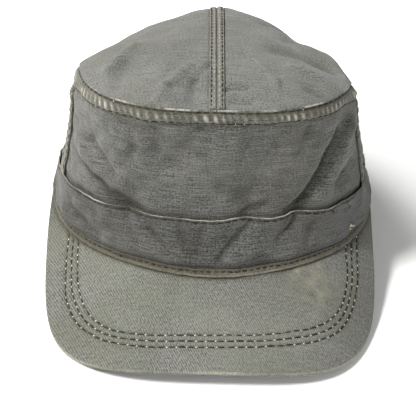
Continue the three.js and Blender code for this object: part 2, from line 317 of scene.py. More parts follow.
# Finer creases of the wall and band, with widths and depths in mm
FINE_WALL_CREASES = (
    Crease((45.5, 0.76), (29, 0.33), 1.7, -3.0, SHARP),
    Crease((41.5, 0.76), (26, 0.38), 4.5, 1.1),
    Crease((51, 0.76), (36, 0.39), 4.6, 2.6),
    Crease((52, 0.82), (43.5, 0.7), 2.6, -1.6),
    Crease((55, 0.5), (44, 0.4), 1.8, -2.1, SHARP),
    Crease((57, 0.64), (50, 0.52), 3.5, 1.0),
    Crease((32, 0.37), (24, 0.31), 2.2, -2.1, SHARP),
    Crease((17.5, 0.38), (9, 0.305), 2.6, -2.0, SHARP),
    Crease((-55, 0.49), (-37, 0.37), 2.0, -2.0, SHARP),
    Crease((-37, 0.36), (-26, 0.31), 2.6, -2.2, SHARP),
    Crease((-50, 0.56), (-38, 0.45), 3.5, 0.9),
    Crease((-45, 0.65), (-35, 0.5), 2.6, -1.2),
    Crease((-25, 0.73), (-31, 0.57), 2.8, -1.3),
    Crease((-32, 0.79), (-23, 0.74), 3.4, 0.9),
    Crease((-21, 0.68), (-25, 0.5), 3.0, 0.7),
    Crease((-5, 0.87), (-17, 0.6), 3.8, -1.1),
    Crease((-9, 0.62), (-14, 0.42), 4.5, 0.5),
    Crease((21.5, 0.89), (20, 0.77), 3.2, -1.0),
    Crease((20, 0.74), (11, 0.4), 5.0, -0.8),
    Crease((5, 0.82), (1, 0.66), 4.0, 0.7),
    Crease((-34, 0.87), (-19, 0.86), 1.6, -0.8),
    Crease((36, 0.72), (29, 0.55), 3.6, 0.6),
    Crease((12, 0.26), (1.5, 0.09), 1.8, -2.2, SHARP),
    Crease((14, 0.21), (5, 0.09), 2.6, 0.9),
    Crease((27.5, 0.26), (20, 0.16), 1.8, -1.9, SHARP),
    Crease((24, 0.12), (10, 0.07), 2.2, -0.9),
    Crease((-21, 0.21), (-12, 0.09), 2.2, -1.2),
    Crease((-53, 0.14), (-37, 0.09), 2.6, -1.1),
    Crease((-50, 0.2), (-41, 0.17), 2.2, 0.7),
    Crease((45, 0.27), (50, 0.12), 2.2, -0.8),
    Crease((-18, 0.86), (-20, 0.66), 2.6, -1.1),
    Crease((-26, 0.84), (-27, 0.68), 2.2, -0.9),
    Crease((-1, 0.87), (-3, 0.7), 2.4, -0.9),
    Crease((11, 0.87), (9, 0.68), 2.6, -1.0),
    Crease((30, 0.86), (27, 0.7), 2.4, -0.9),
    Crease((-12, 0.5), (-15, 0.36), 3.0, -0.8),
    Crease((2, 0.5), (-1, 0.34), 3.4, -0.8),
    Crease((-40, 0.34), (-29, 0.3), 2.0, -1.6),
    Crease((-11, 0.24), (-7, 0.1), 2.0, -1.1),
    Crease((-28, 0.24), (-23, 0.12), 2.0, -1.0),
    Crease((-3, 0.25), (-5, 0.12), 2.2, -0.8),
    Crease((34, 0.22), (30, 0.12), 2.0, -1.0),
    Crease((80, 0.64), (92, 0.38), 13.0, 1.4),
    Crease((105, 0.75), (96, 0.45), 2.4, -1.9, SHARP),
    Crease((140, 0.7), (146, 0.42), 3.5, -1.2),
    Crease((168, 0.62), (158, 0.4), 2.4, -1.9, SHARP),
    Crease((-112, 0.72), (-104, 0.46), 2.4, -1.8, SHARP),
    Crease((-150, 0.66), (-156, 0.42), 3.5, -1.2),
)
TOP_FOLD = 4.0
# Creases that the solid cap has too, with widths as shares of the head's half width and depths of TOP_FOLD
TOP_CREASES = (
    Crease((-0.68, -0.51), (-0.49, -0.31), 0.1, 0.5),
    Crease((-0.24, -0.66), (-0.13, -0.88), 0.1, -0.6),
    Crease((0.48, -0.15), (0.78, -0.52), 0.09, -0.6),
    Crease((0.6, -0.14), (0.8, -0.02), 0.12, 0.9),
    Crease((-0.3, 0.3), (-0.55, 0.5), 0.12, -0.6),
)
# Finer creases of the top, with widths and depths in mm
FINE_TOP_CREASES = (
    Crease((-0.65, -0.72), (-0.65, -0.53), 2.8, 1.7),
    Crease((-0.65, -0.53), (-0.5, -0.32), 3.0, 1.6),
    Crease((-0.59, -0.72), (-0.55, -0.5), 4.0, -1.3),
    Crease((-0.38, -0.92), (-0.3, -0.74), 2.6, 1.9),
    Crease((-0.3, -0.74), (-0.17, -0.55), 3.2, 2.1),
    Crease((-0.43, -0.88), (-0.34, -0.79), 1.8, -2.1, SHARP),
    Crease((-0.16, -0.91), (-0.13, -0.68), 2.8, -2.4),
    Crease((-0.12, -0.66), (-0.05, -0.54), 2.8, -1.4),
    Crease((0.36, -0.32), (0.72, -0.36), 6.0, -3.2),
    Crease((0.44, -0.49), (0.76, -0.66), 3.0, 2.4),
    Crease((0.54, -0.7), (0.64, -0.79), 3.2, -2.4),
    Crease((0.22, -0.44), (0.34, -0.68), 2.2, 1.4),
    Crease((0.34, -0.66), (0.35, -0.82), 2.2, 1.3),
    Crease((0.06, -0.77), (0.17, -0.75), 2.0, -2.1),
    Crease((0.09, -0.88), (0.19, -0.87), 2.4, -2.7),
    Crease((0.7, -0.02), (0.8, -0.42), 6.5, 4.6),
    Crease((0.3, 0.1), (0.55, 0.3), 4.0, -1.4),
    Crease((-0.2, 0.05), (-0.5, 0.12), 5.0, -1.3),
    Crease((-0.6, 0.55), (-0.35, 0.7), 3.4, -1.9, SHARP),
    Crease((0.25, 0.5), (0.45, 0.62), 3.0, -1.9, SHARP),
)


@dataclass
class CapForm:
    """The cap's surfaces, which every piece of cloth and every stitch is laid on."""

    sizes: CapSizes = field(default_factory=CapSizes)
    fold_fade: float = 0.1
    seam_hold: float = 3.0
    seam_free: float = 8.0
    sag_start: float = 0.5
    top_power: float = 2.3
    top_settle: float = 0.9
    arch_power: float = 3.0
    peak_across: float = 3.25
    peak_along: float = 4.8
    # Angle, width in degrees and reach in mm of the places where the soft peak spreads
    peak_spreads: tuple[tuple[float, float, float], ...] = ((-36, 15, 2.0), (-61, 14, 1.4), (38, 12, 0.8))
    slope: float = 0.0
    shift: Array = field(default_factory=lambda: np.zeros(3))

    def __post_init__(self) -> None:
        """Finds how the cap lies, and its place in the model."""
        size = self.sizes
        angle = even_steps(-size.peak_end_angle, size.peak_end_angle, size.column_angle)
        low = self.peak_point(angle, np.ones_like(angle), size.peak_depth, spread=False)
        back = size.head_back + size.foot_outer
        self.slope = float((-low[:, 2] / (back - low[:, 1])).max())
        angle = np.linspace(-180, 180, 91)
        corners = []
        for level in (0 * angle, size.hem_height / self.rim_height(angle)):
            for offset in (size.hem_inner, size.foot_outer):
                corners.append(self.wall_point(angle, level, offset, fine=False))
        laid = self.lay(np.concatenate(corners))
        low_corner, high_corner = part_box("band_hem")
        middle = (np.array(low_corner) + np.array(high_corner)) / 2
        self.shift = middle - (laid.min(0) + laid.max(0)) / 2

    def lay(self, points: Array) -> Array:
        """Points of the cap's frame, in mm, as points of the model, in metres."""
        return self.turn(np.asarray(points, float) * MM) + self.shift

    def turn(self, directions: Array) -> Array:
        """Directions of the cap's frame as directions of the model.

        Args:
            directions: directions in the cap's frame.

        Returns:
            The same directions in the model.
        """
        turn = -math.atan(self.slope)
        cos, sin = math.cos(turn), math.sin(turn)
        x, y, z = np.asarray(directions, float).T
        return np.stack([x, y * cos - z * sin, y * sin + z * cos], -1)

    @staticmethod
    def outline(angle: Array, half_width: Array, front: Array, back: Array, centre: Array,
                along_front: Array, along_back: Array, across: Optional[float] = None) -> Array:
        """How far a ray from the middle runs inside a rounded outline.

        Args:
            angle: directions of the rays.
            half_width: the outline's half width.
            front: its reach to the front, from the middle.
            back: its reach to the back, from the middle.
            centre: how far forward its widest place lies.
            along_front: the front's squareness.
            along_back: the back's squareness.
            across: the sideways squareness, where it is another.

        Returns:
            The reach along each ray, in mm.
        """
        aside, ahead = np.abs(np.sin(np.radians(angle))), np.cos(np.radians(angle))
        inside = np.zeros(np.broadcast(angle, half_width).shape)
        outside = inside + half_width + front + back
        for _ in range(40):
            reach = (inside + outside) / 2
            forward = ahead * reach - centre
            length = np.where(forward > 0, front - centre, back + centre)
            along = np.where(forward > 0, along_front, along_back)
            sideways = along if across is None else across
            within = (aside * reach / half_width) ** sideways + (np.abs(forward) / length) ** along < 1
            inside, outside = np.where(within, reach, inside), np.where(within, outside, reach)
        return inside

    def wall_run(self, angle: Array, level: Array) -> tuple[Array, Array]:
        """Places on the wall as flat millimetres, round it and up it."""
        return math.radians(self.sizes.head_half_width) * angle, level * self.sizes.crown_height

    def crease_on_wall(self, crease: Crease, angle: Array, rise: Array) -> Array:
        """How far one crease moves the wall.

        Args:
            crease: the crease, with its width and depth in mm.
            angle: places round the cap.
            rise: places up the wall, in mm.

        Returns:
            Heights in mm.
        """
        from_run, from_rise = self.wall_run(*crease.start)
        to_run, to_rise = self.wall_run(*crease.end)
        run, _ = self.wall_run(wrap(angle - crease.start[0]), 0.0)
        return crease.height(run, rise, (0.0, from_rise), (to_run - from_run, to_rise))

    def crease_on_top(self, crease: Crease, x: Array, y: Array) -> Array:
        """How far one crease moves the top.

        Args:
            crease: the crease, with its width and depth in mm.
            x: places across the cap, in mm.
            y: places along it, in mm.

        Returns:
            Heights in mm.
        """
        size = self.sizes
        start, end = ((place[0] * size.head_half_width, place[1] * size.head_front)
                      for place in (crease.start, crease.end))
        return crease.height(x, y, start, end)

    def rim_sag(self, angle: Array, column: int) -> Array:
        """How far the soft rim drops, in column 2 of its sags, or pulls in, in column 3, in mm."""
        share = sum(sag[column] * np.exp(-((wrap(angle - sag[0]) / sag[1]) ** 2)) for sag in RIM_SAGS)
        return self.sizes.crown_height * share

    def rim_height(self, angle: Array) -> Array:
        """Height of the rim round the crown, in mm."""
        share = read_curve(RIM_ANGLES, RIM_HEIGHTS, np.abs(wrap(angle)))
        return self.sizes.crown_height * share - self.rim_sag(angle, 2)

    def wall_fold(self, angle: Array, level: Array, fine: bool) -> Array:
        """How far the wall's creases move it out, in mm.

        Args:
            angle: places round the cap.
            level: places up the wall.
            fine: whether the finer creases and the cloth's swelling are added.

        Returns:
            Moves outward.
        """
        size = self.sizes
        _, rise = self.wall_run(angle, level)
        depth = np.zeros(np.broadcast(angle, level).shape)
        for crease in WALL_CREASES:
            scaled = replace(crease, width=crease.width * size.crown_height, depth=crease.depth * WALL_FOLD)
            depth = depth + self.crease_on_wall(scaled, angle, rise)
        edge = ease(level, 0, self.fold_fade) * (1 - ease(level, 1 - self.fold_fade, 1))
        from_seam = np.abs(np.abs(wrap(angle)) - size.side_seam_angle)
        depth = depth * edge * ease(from_seam, self.seam_hold, self.seam_free)
        return depth + self.wall_relief(angle, level) if fine else depth

    def wall_relief(self, angle: Array, level: Array) -> Array:
        """The wall's finer creases and swelling, in mm outward.

        Args:
            angle: places round the cap.
            level: places up the wall.

        Returns:
            Moves outward.
        """
        run, rise = self.wall_run(angle, level)
        small = swelling(WALL_SWELLS, run, rise)
        for crease in FINE_WALL_CREASES:
            small = small + self.crease_on_wall(crease, angle, rise)
        fine_edge = ease(level, 0, 0.07) * (1 - ease(level, 0.93, 1))
        from_seam = np.abs(np.abs(wrap(angle)) - self.sizes.side_seam_angle)
        return small * fine_edge * (0.25 + 0.75 * ease(from_seam, 1.5, 5))

    def crease_lines(self, angle: Array, level: Array) -> Array:
        """Painted shade along the sharp creases, from 0 to 1.

        Args:
            angle: places round the cap.
            level: places up the wall.

        Returns:
            How dark each place is.
        """
        _, rise = self.wall_run(angle, level)
        lines = np.zeros(np.broadcast(angle, level).shape)
        for crease in FINE_WALL_CREASES:
            if crease.shape is SHARP:
                strength = min(1.0, -crease.depth * 0.45)
                line = replace(crease, width=crease.width * 0.7, depth=strength, shape=CreaseShape.SOFT)
                lines = lines + self.crease_on_wall(line, angle, rise)
        return np.clip(lines, 0, 1)

    def hollow_shade(self, angle: Array, level: Array) -> Array:
        """Painted shade in the wall's and the band's hollows and along their sharp creases."""
        hollow = np.clip(-self.wall_relief(angle, level) / 2.6 - 0.15, 0, 0.5)
        return hollow + 0.85 * self.crease_lines(angle, level)

    def wall_reach(self, angle: Array, level: Array, fine: bool = True) -> Array:
        """Reach of the wall's inner face from the middle, in mm.

        Args:
            angle: places round the cap.
            level: places up the wall.
            fine: whether the finer creases are there.

        Returns:
            The reach at each place.
        """
        size = self.sizes
        part = {name: read_curve(WALL_LEVELS, values, level) for name, values in WALL_SECTIONS.items()}
        smooth = self.outline(
            angle, size.head_half_width * part["width"], size.head_front * part["front"],
            size.head_back * part["back"], size.head_front * part["centre"],
            part["square_front"], part["square_back"],
        )
        pull = self.rim_sag(angle, 3) * ease(level, self.sag_start, 1)
        return smooth + self.wall_fold(angle, level, fine) - pull

    def wall_root(self, angle: Array) -> Array:
        """Reach of the wall's inner face at the foot, in mm."""
        return self.wall_reach(angle, np.zeros_like(angle), False)

    def peak_height(self, x: Array, y: Array) -> Array:
        """Height of the peak's guide surface over a place in plan, in mm.

        Args:
            x: places across the cap, in mm.
            y: places along it, in mm.

        Returns:
            Heights in mm.
        """
        size = self.sizes
        forward = y + size.head_front + size.foot_outer
        arch = (np.abs(x) / (size.head_half_width + size.foot_outer)) ** self.arch_power
        return size.peak_drop / size.peak_length * forward - size.peak_arch * arch

    def peak_normal(self, x: Array) -> Array:
        """Upward unit normals of the peak's guide surface.

        Args:
            x: places across the cap, in mm.

        Returns:
            One normal for each place.
        """
        size = self.sizes
        half = size.head_half_width + size.foot_outer
        side = size.peak_arch * self.arch_power * (np.abs(x) / half) ** (self.arch_power - 1) / half
        fall = np.full_like(side, size.peak_drop / size.peak_length)
        normal = np.stack([np.sign(x) * side, -fall, np.ones_like(side)], -1)
        return normal / np.linalg.norm(normal, axis=-1, keepdims=True)

    def peak_cut(self, angle: Array) -> Array:
        """Reach of the peak's outer edge as it was cut, in mm.

        Args:
            angle: places round the cap.

        Returns:
            The reach at each place.
        """
        size = self.sizes
        zero = np.zeros_like(angle)
        half = size.head_half_width + size.peak_overhang + zero
        front = size.head_front + size.foot_outer + size.peak_length + zero
        along = self.peak_along
        return self.outline(angle, half, front, zero, zero, along, along, self.peak_across)

    def peak_reach(self, angle: Array) -> Array:
        """Reach of the peak's outer edge as it lies, in mm."""
        return self.peak_cut(angle) + self.peak_spread(angle)

    def peak_spread(self, angle: Array) -> Array:
        """How far the soft peak spreads past its cut, in mm."""
        return sum(reach * dip(angle - place, width) for place, width, reach in self.peak_spreads)

    def peak_point(self, angle: Array, share: Array, depth: Array, spread: bool = True) -> Array:
        """Points of the peak.

        Args:
            angle: places round the cap.
            share: 0 at the wall and 1 at the peak's edge.
            depth: depth under the guide surface, in mm.
            spread: whether the edge has spread past its cut.

        Returns:
            Points in the cap's frame.
        """
        inner = self.wall_root(angle)
        reach = inner + (self.peak_cut(angle) - inner) * share
        x, y = reach * np.sin(np.radians(angle)), -reach * np.cos(np.radians(angle))
        height, normal = self.peak_height(x, y), self.peak_normal(x)
        wider = 1 + (self.peak_spread(angle) * share / reach if spread else 0.0)
        depth = np.broadcast_to(depth, x.shape)
        return np.stack([x * wider, y * wider, height], -1) - normal * depth[..., None]

    def foot_height(self, angle: Array, offset: Array) -> Array:
        """Height of the band's foot: it follows the peak in front and lies flat at the back.

        Args:
            angle: places round the cap.
            offset: reach outward from the wall's inner face, in mm.

        Returns:
            Heights in mm.
        """
        size = self.sizes
        turn = np.abs(angle)
        bend = np.sign(angle) * np.minimum(turn, size.peak_end_angle)
        over, here = self.wall_root(bend) + offset, self.wall_root(angle) + offset
        on_peak = self.peak_height(over * np.sin(np.radians(bend)), -over * np.cos(np.radians(bend)))
        follow = 1 - ease(turn, size.peak_end_angle, size.foot_level_angle)
        surface = (-here * np.cos(np.radians(angle)) - size.head_back - size.foot_outer) * self.slope
        settle = ease(turn, size.rest_start_angle, size.rest_angle)
        return on_peak * follow * (1 - settle) + surface * settle

    def wall_point(self, angle: Array, level: Array, offset: Array, fine: bool = True) -> Array:
        """Points of the wall and of the layers over it.

        Args:
            angle: places round the cap.
            level: places up the wall.
            offset: reach outward from the wall's inner face, in mm.
            fine: whether the finer creases are there.

        Returns:
            Points in the cap's frame.
        """
        turn = wrap(angle)
        reach = self.wall_reach(turn, level, fine) + offset
        top = self.rim_height(turn) - self.sizes.over_wall
        foot = self.foot_height(turn, offset)
        radians = np.radians(turn)
        return np.stack([reach * np.sin(radians), -reach * np.cos(radians), foot + (top - foot) * level], -1)

    def rim_reach(self, angle: Array) -> Array:
        """Reach of the top's outer edge, in mm."""
        return self.wall_reach(angle, np.ones_like(angle), False) + self.sizes.seam_outer

    def top_height(self, x: Array, y: Array, fine: bool = True) -> Array:
        """Height of the top's outer face over a place in plan, in mm.

        Args:
            x: places across the cap, in mm.
            y: places along it, in mm.
            fine: whether the finer creases are there.

        Returns:
            Heights in mm.
        """
        size = self.sizes
        angle = np.degrees(np.arctan2(x, -y))
        share = np.minimum(np.hypot(x, y) / self.rim_reach(angle), 1)
        height = size.crown_apex + (self.rim_height(angle) - size.crown_apex) * share**self.top_power
        height = height - (self.top_settle if fine else 0.0) * (1 - share**2)
        fold = np.zeros_like(height)
        for crease in TOP_CREASES:
            scaled = replace(crease, width=crease.width * size.head_half_width, depth=crease.depth * TOP_FOLD)
            fold = fold + self.crease_on_top(scaled, x, y)
        small = self.top_relief(x, y) if fine else 0.0
        return height + fold * (1 - share**4) + small * (1 - share**10)

    def top_relief(self, x: Array, y: Array) -> Array:
        """The top's finer creases and swelling, in mm upward.

        Args:
            x: places across the cap, in mm.
            y: places along it, in mm.

        Returns:
            Heights in mm.
        """
        small = swelling(TOP_SWELLS, x, y)
        for crease in FINE_TOP_CREASES:
            small = small + self.crease_on_top(crease, x, y)
        return small


# Shader groups and finishes


class Weave(Enum):
    """Ways the cloth is woven."""

    PLAIN = "plain"
    TWILL = "twill"


@dataclass
class NodeDesk:
    """Places and joins shader nodes in one node tree."""

    tree: bpy.types.NodeTree

    def node(self, kind: str, **settings: object) -> bpy.types.Node:
        """A new node of a kind, with settings.

        Args:
            kind: the node's type name.
            settings: values of its properties.

        Returns:
            The node.
        """
        made = self.tree.nodes.new(kind)
        for name, value in settings.items():
            setattr(made, name, value)
        return made

    def join(self, source: Socket, target: Socket) -> None:
        """Joins an output to an input."""
        self.tree.links.new(source, target)

    def feed(self, value: object, target: Socket) -> None:
        """Gives an input a number, a vector or another node's output.

        Args:
            value: what the input is given.
            target: the input.
        """
        if isinstance(value, Socket):
            self.join(value, target)
        else:
            target.default_value = value

    def math(self, way: str, first: object, second: object = 0.0, third: object = 0.0,
             clamp: bool = False) -> Socket:
        """The result of a Math node.

        Args:
            way: its operation.
            first: first input.
            second: second input.
            third: third input.
            clamp: whether the result is kept from 0 to 1.

        Returns:
            Its output.
        """
        made = self.node("ShaderNodeMath", operation=way, use_clamp=clamp)
        for place, value in enumerate((first, second, third)):
            self.feed(value, made.inputs[place])
        return made.outputs[0]

    def blend(self, share: object, first: object, second: object, way: str = "MIX") -> Socket:
        """Two colours mixed.

        Args:
            share: how much of the second.
            first: first colour.
            second: second colour.
            way: the blend type.

        Returns:
            The mixed colour.
        """
        made = self.node("ShaderNodeMix", data_type="RGBA", blend_type=way, clamp_result=False)
        self.feed(share, made.inputs[0])
        self.feed(first, made.inputs[6])
        self.feed(second, made.inputs[7])
        return made.outputs[2]

    def noise(self, vector: object, scale: object, detail: float = 2.0, rough: float = 0.5) -> Socket:
        """A Noise Texture's factor.

        Args:
            vector: where it is read.
            scale: its scale.
            detail: its detail.
            rough: its roughness.

        Returns:
            The factor.
        """
        made = self.node("ShaderNodeTexNoise")
        self.feed(vector, made.inputs["Vector"])
        self.feed(scale, made.inputs["Scale"])
        made.inputs["Detail"].default_value = detail
        made.inputs["Roughness"].default_value = rough
        return made.outputs["Fac"]

    def spread(self, value: object, low: float, high: float, out_low: float = 0.0,
               out_high: float = 1.0) -> Socket:
        """A value mapped from one range to another, and kept inside it.

        Args:
            value: the value.
            low: start of its range.
            high: end of its range.
            out_low: what the start becomes.
            out_high: what the end becomes.

        Returns:
            The mapped value.
        """
        made = self.node("ShaderNodeMapRange", clamp=True, interpolation_type="SMOOTHSTEP")
        self.feed(value, made.inputs["Value"])
        limits = {"From Min": low, "From Max": high, "To Min": out_low, "To Max": out_high}
        for name, number in limits.items():
            made.inputs[name].default_value = number
        return made.outputs["Result"]

    def stretch(self, vector: object, scale: Place) -> Socket:
        """A vector scaled along each axis.

        Args:
            vector: the vector.
            scale: how much along each axis.

        Returns:
            The scaled vector.
        """
        made = self.node("ShaderNodeMapping", vector_type="POINT")
        self.feed(vector, made.inputs["Vector"])
        made.inputs["Scale"].default_value = scale
        return made.outputs["Vector"]

    def group(self, tree: bpy.types.NodeTree, **values: object) -> bpy.types.Node:
        """A node group placed in the tree.

        Args:
            tree: the group.
            values: what each of its inputs is given, by name.

        Returns:
            The placed node.
        """
        placed = self.node("ShaderNodeGroup", node_tree=tree)
        for name, value in values.items():
            self.feed(value, placed.inputs[name])
        return placed

    def bump(self, height: Socket, strength: float, distance: float, shader: bpy.types.Node) -> None:
        """Lets a height raise a shader's surface.

        Args:
            height: the height.
            strength: how much of it shows.
            distance: how high its full range stands, in metres.
            shader: the shader.
        """
        made = self.node("ShaderNodeBump")
        made.inputs["Strength"].default_value = strength
        made.inputs["Distance"].default_value = distance
        self.join(height, made.inputs["Height"])
        self.join(made.outputs[0], shader.inputs["Normal"])


NewGroup = tuple[bpy.types.NodeTree, NodeDesk, bpy.types.Node, bpy.types.Node]


def new_group(name: str, inputs: dict[str, str], outputs: dict[str, str]) -> NewGroup:
    """An empty shader node group.

    Args:
        name: its name.
        inputs: socket type of each input.
        outputs: socket type of each output.

    Returns:
        The group, its desk, and its input and output nodes.
    """
    tree = bpy.data.node_groups.new(name, "ShaderNodeTree")
    for side, sockets in (("INPUT", inputs), ("OUTPUT", outputs)):
        for label, kind in sockets.items():
            tree.interface.new_socket(name=label, in_out=side, socket_type="NodeSocket" + kind)
    desk = NodeDesk(tree)
    return tree, desk, desk.node("NodeGroupInput"), desk.node("NodeGroupOutput")


def new_cotton(name: str, **numbers: float) -> tuple[bpy.types.Material, NodeDesk, bpy.types.Node]:
    """A material that holds only its shader.

    Args:
        name: its name.
        numbers: the shader's inputs, with underscores for spaces.

    Returns:
        The material, its desk and its shader.
    """
    material = bpy.data.materials.new(name)
    material.use_nodes = True
    material.node_tree.nodes.clear()
    desk = NodeDesk(material.node_tree)
    shader, output = desk.node("ShaderNodeBsdfPrincipled"), desk.node("ShaderNodeOutputMaterial")
    desk.join(shader.outputs[0], output.inputs[0])
    for label, number in numbers.items():
        shader.inputs[label.replace("_", " ")].default_value = number
    return material, desk, shader


class ClothGroups:
    """The shader node groups that the cap's cloths share."""

    def __init__(self) -> None:
        """Builds each group once."""
        self.plain = self.build_plain()
        self.twill = self.build_twill()
        self.slub = self.build_slub()
        self.fade = self.build_fade()
        self.worn = self.build_worn()

    @staticmethod
    def thread_wave(desk: NodeDesk, value: object, pitch: object) -> Socket:
        """A sine wave of threads, from -1 to 1. The coordinate and the pitch are in metres."""
        turns = desk.math("DIVIDE", value, pitch)
        return desk.math("SINE", desk.math("MULTIPLY", turns, 2 * math.pi))

    @staticmethod
    def start_weave(name: str, wobble_scale: float, wobble: float) -> tuple[NewGroup, Socket, bpy.types.Node]:
        """Starts a weave whose threads wander a little.

        Args:
            name: the group's name.
            wobble_scale: how closely the wandering follows itself.
            wobble: how far the threads wander, in metres.

        Returns:
            The group, the wandering and the split coordinates.
        """
        group = new_group(name, {"Vector": "Vector", "Pitch": "Float"}, {"Height": "Float"})
        _, desk, given, _ = group
        noise = desk.noise(given.outputs["Vector"], wobble_scale)
        split = desk.node("ShaderNodeSeparateXYZ")
        desk.join(given.outputs["Vector"], split.inputs[0])
        return group, desk.math("MULTIPLY", desk.math("SUBTRACT", noise, 0.5), wobble), split

    def build_plain(self) -> bpy.types.NodeTree:
        """Plain weave: threads over and under in turn.

        Returns:
            The group.
        """
        (tree, desk, given, result), shift, split = self.start_weave("Plain weave", 420.0, 0.00035)
        warp, weft = (self.thread_wave(desk, desk.math("ADD", place, shift), given.outputs["Pitch"])
                      for place in split.outputs[:2])
        over = desk.math("MULTIPLY", warp, weft)
        height = desk.math("MULTIPLY_ADD", weft, 0.26, desk.math("MULTIPLY_ADD", over, 0.24, 0.5))
        desk.join(height, result.inputs["Height"])
        return tree

    def build_twill(self) -> bpy.types.NodeTree:
        """Twill weave: fine diagonal ribs.

        Returns:
            The group.
        """
        (tree, desk, given, result), shift, split = self.start_weave("Twill weave", 300.0, 0.0004)
        rise = desk.math("MULTIPLY", split.outputs[1], 0.75)
        diagonal = desk.math("ADD", desk.math("ADD", split.outputs[0], rise), shift)
        rib = self.thread_wave(desk, diagonal, given.outputs["Pitch"])
        half = desk.math("MULTIPLY", given.outputs["Pitch"], 0.62)
        cross = self.thread_wave(desk, desk.math("SUBTRACT", split.outputs[0], rise), half)
        height = desk.math("MULTIPLY_ADD", rib, 0.38, 0.5)
        desk.join(desk.math("MULTIPLY_ADD", cross, 0.14, height), result.inputs["Height"])
        return tree

    @staticmethod
    def build_slub() -> bpy.types.NodeTree:
        """Thick and thin threads that show as short streaks, across and along.

        Returns:
            The group.
        """
        inputs = {"Vector": "Vector", "Streak": "Float", "Grain": "Float"}
        tree, desk, given, result = new_group("Slub threads", inputs, {"Streaks": "Float"})
        wide, short, fine = (
            desk.math("SUBTRACT", desk.noise(desk.stretch(given.outputs["Vector"], scale), 1.0, 1.0), 0.5)
            for scale in ((70.0, 1800.0, 1.0), (1050.0, 1150.0, 1.0), (1700.0, 150.0, 1.0))
        )
        long = desk.math("MULTIPLY", desk.math("MULTIPLY_ADD", fine, 0.4, wide), given.outputs["Streak"])
        strength = desk.math("MULTIPLY_ADD", short, given.outputs["Grain"], long)
        desk.join(strength, result.inputs["Streaks"])
        return tree

    @staticmethod
    def build_fade() -> bpy.types.NodeTree:
        """Patchy fading of a washed dye, from about -0.5 to 0.5.

        Returns:
            The group.
        """
        outputs = {"Patches": "Float", "Tint": "Float"}
        tree, desk, given, result = new_group("Wash fade", {"Vector": "Vector"}, outputs)
        large = desk.noise(given.outputs["Vector"], 26.0, 3.0, 0.5)
        small = desk.noise(given.outputs["Vector"], 150.0, 2.0, 0.5)
        patches = desk.math("MULTIPLY_ADD", desk.math("SUBTRACT", small, 0.5), 0.35,
                            desk.math("SUBTRACT", large, 0.5))
        moved = desk.node("ShaderNodeVectorMath", operation="ADD")
        desk.join(given.outputs["Vector"], moved.inputs[0])
        moved.inputs[1].default_value = (0.31, 0.17, 0.23)
        tint = desk.noise(moved.outputs[0], 18.0, 3.0, 0.5)
        desk.join(patches, result.inputs["Patches"])
        desk.join(desk.spread(tint, 0.35, 0.68), result.inputs["Tint"])
        return tree

    @staticmethod
    def build_worn() -> bpy.types.NodeTree:
        """Breaks a mask of rubbed edges up into threads and patches.

        Returns:
            The group.
        """
        tree, desk, given, result = new_group("Rubbed edge", {"Vector": "Vector", "Mask": "Float"},
                                              {"Worn": "Float"})
        threads = desk.noise(given.outputs["Vector"], 900.0, 2.0, 0.6)
        patches = desk.noise(given.outputs["Vector"], 140.0, 2.0, 0.5)
        broken = desk.math("ADD", desk.math("MULTIPLY", threads, 0.9), desk.math("MULTIPLY", patches, 0.7))
        level = desk.math("MULTIPLY", given.outputs["Mask"], desk.math("ADD", broken, 0.25))
        desk.join(desk.spread(level, 0.25, 0.95), result.inputs["Worn"])
        return tree


# Vertex masks: rub is wear on edges and gathers, shade is painted shade, stain is a stain
MASK_NAMES = ("rub", "shade", "stain")
STAIN_COLOUR = (0.33, 0.315, 0.215)
# Colour multiplied in where the shade mask is high: painted shade
PAINTED_SHADE_COLOUR = (0.4, 0.39, 0.34)


@dataclass(frozen=True)
class ClothFinish:
    """A washed cotton finish."""

    name: str
    dark: Colour
    light: Colour
    tint: Colour
    worn: Colour
    weave: Weave
    pitch: float = 0.00108
    streak: float = 1.4
    grain: float = 1.6
    relief: float = 0.00022
    weave_share: float = 0.42
    fade: float = 0.85
    tint_share: float = 0.35
    roughness: float = 0.92

    def build(self, groups: ClothGroups) -> bpy.types.Material:
        """The finish as a material.

        Args:
            groups: the shared shader groups.

        Returns:
            The material.
        """
        material, desk, shader = new_cotton(self.name, Roughness=self.roughness, Specular_IOR_Level=0.18,
                                            Sheen_Weight=0.12, Sheen_Roughness=0.55)
        place = desk.node("ShaderNodeTexCoord").outputs["Object"]
        cut = desk.node("ShaderNodeUVMap", uv_map="cut").outputs["UV"]
        masks = {name: desk.node("ShaderNodeAttribute", attribute_name=name).outputs["Fac"]
                 for name in MASK_NAMES}
        threads = groups.plain if self.weave is Weave.PLAIN else groups.twill
        weave = desk.group(threads, Vector=cut, Pitch=self.pitch)
        slub = desk.group(groups.slub, Vector=cut, Streak=self.streak, Grain=self.grain)
        fade = desk.group(groups.fade, Vector=place)
        worn = desk.group(groups.worn, Vector=cut, Mask=masks["rub"])

        share = desk.math("MULTIPLY_ADD", fade.outputs["Patches"], self.fade, 0.5)
        share = desk.math("ADD", share, slub.outputs["Streaks"])
        over = desk.math("SUBTRACT", weave.outputs["Height"], 0.5)
        share = desk.math("MULTIPLY_ADD", over, self.weave_share, share, clamp=True)
        colour = desk.blend(share, (*self.dark, 1), (*self.light, 1))
        tinted = desk.math("MULTIPLY", fade.outputs["Tint"], self.tint_share)
        colour = desk.blend(tinted, colour, (*self.tint, 1))
        colour = desk.blend(desk.math("MULTIPLY", masks["stain"], 0.8), colour, (*STAIN_COLOUR, 1))
        colour = desk.blend(worn.outputs["Worn"], colour, (*self.worn, 1))
        # Painted shade: the colour darkens where the shade mask is high
        deep = desk.blend(1.0, colour, (*PAINTED_SHADE_COLOUR, 1), "MULTIPLY")
        colour = desk.blend(masks["shade"], colour, deep)
        desk.join(colour, shader.inputs["Base Color"])

        height = desk.math("MULTIPLY_ADD", slub.outputs["Streaks"], 1.6, weave.outputs["Height"])
        desk.bump(height, 0.8, self.relief, shader)
        return material


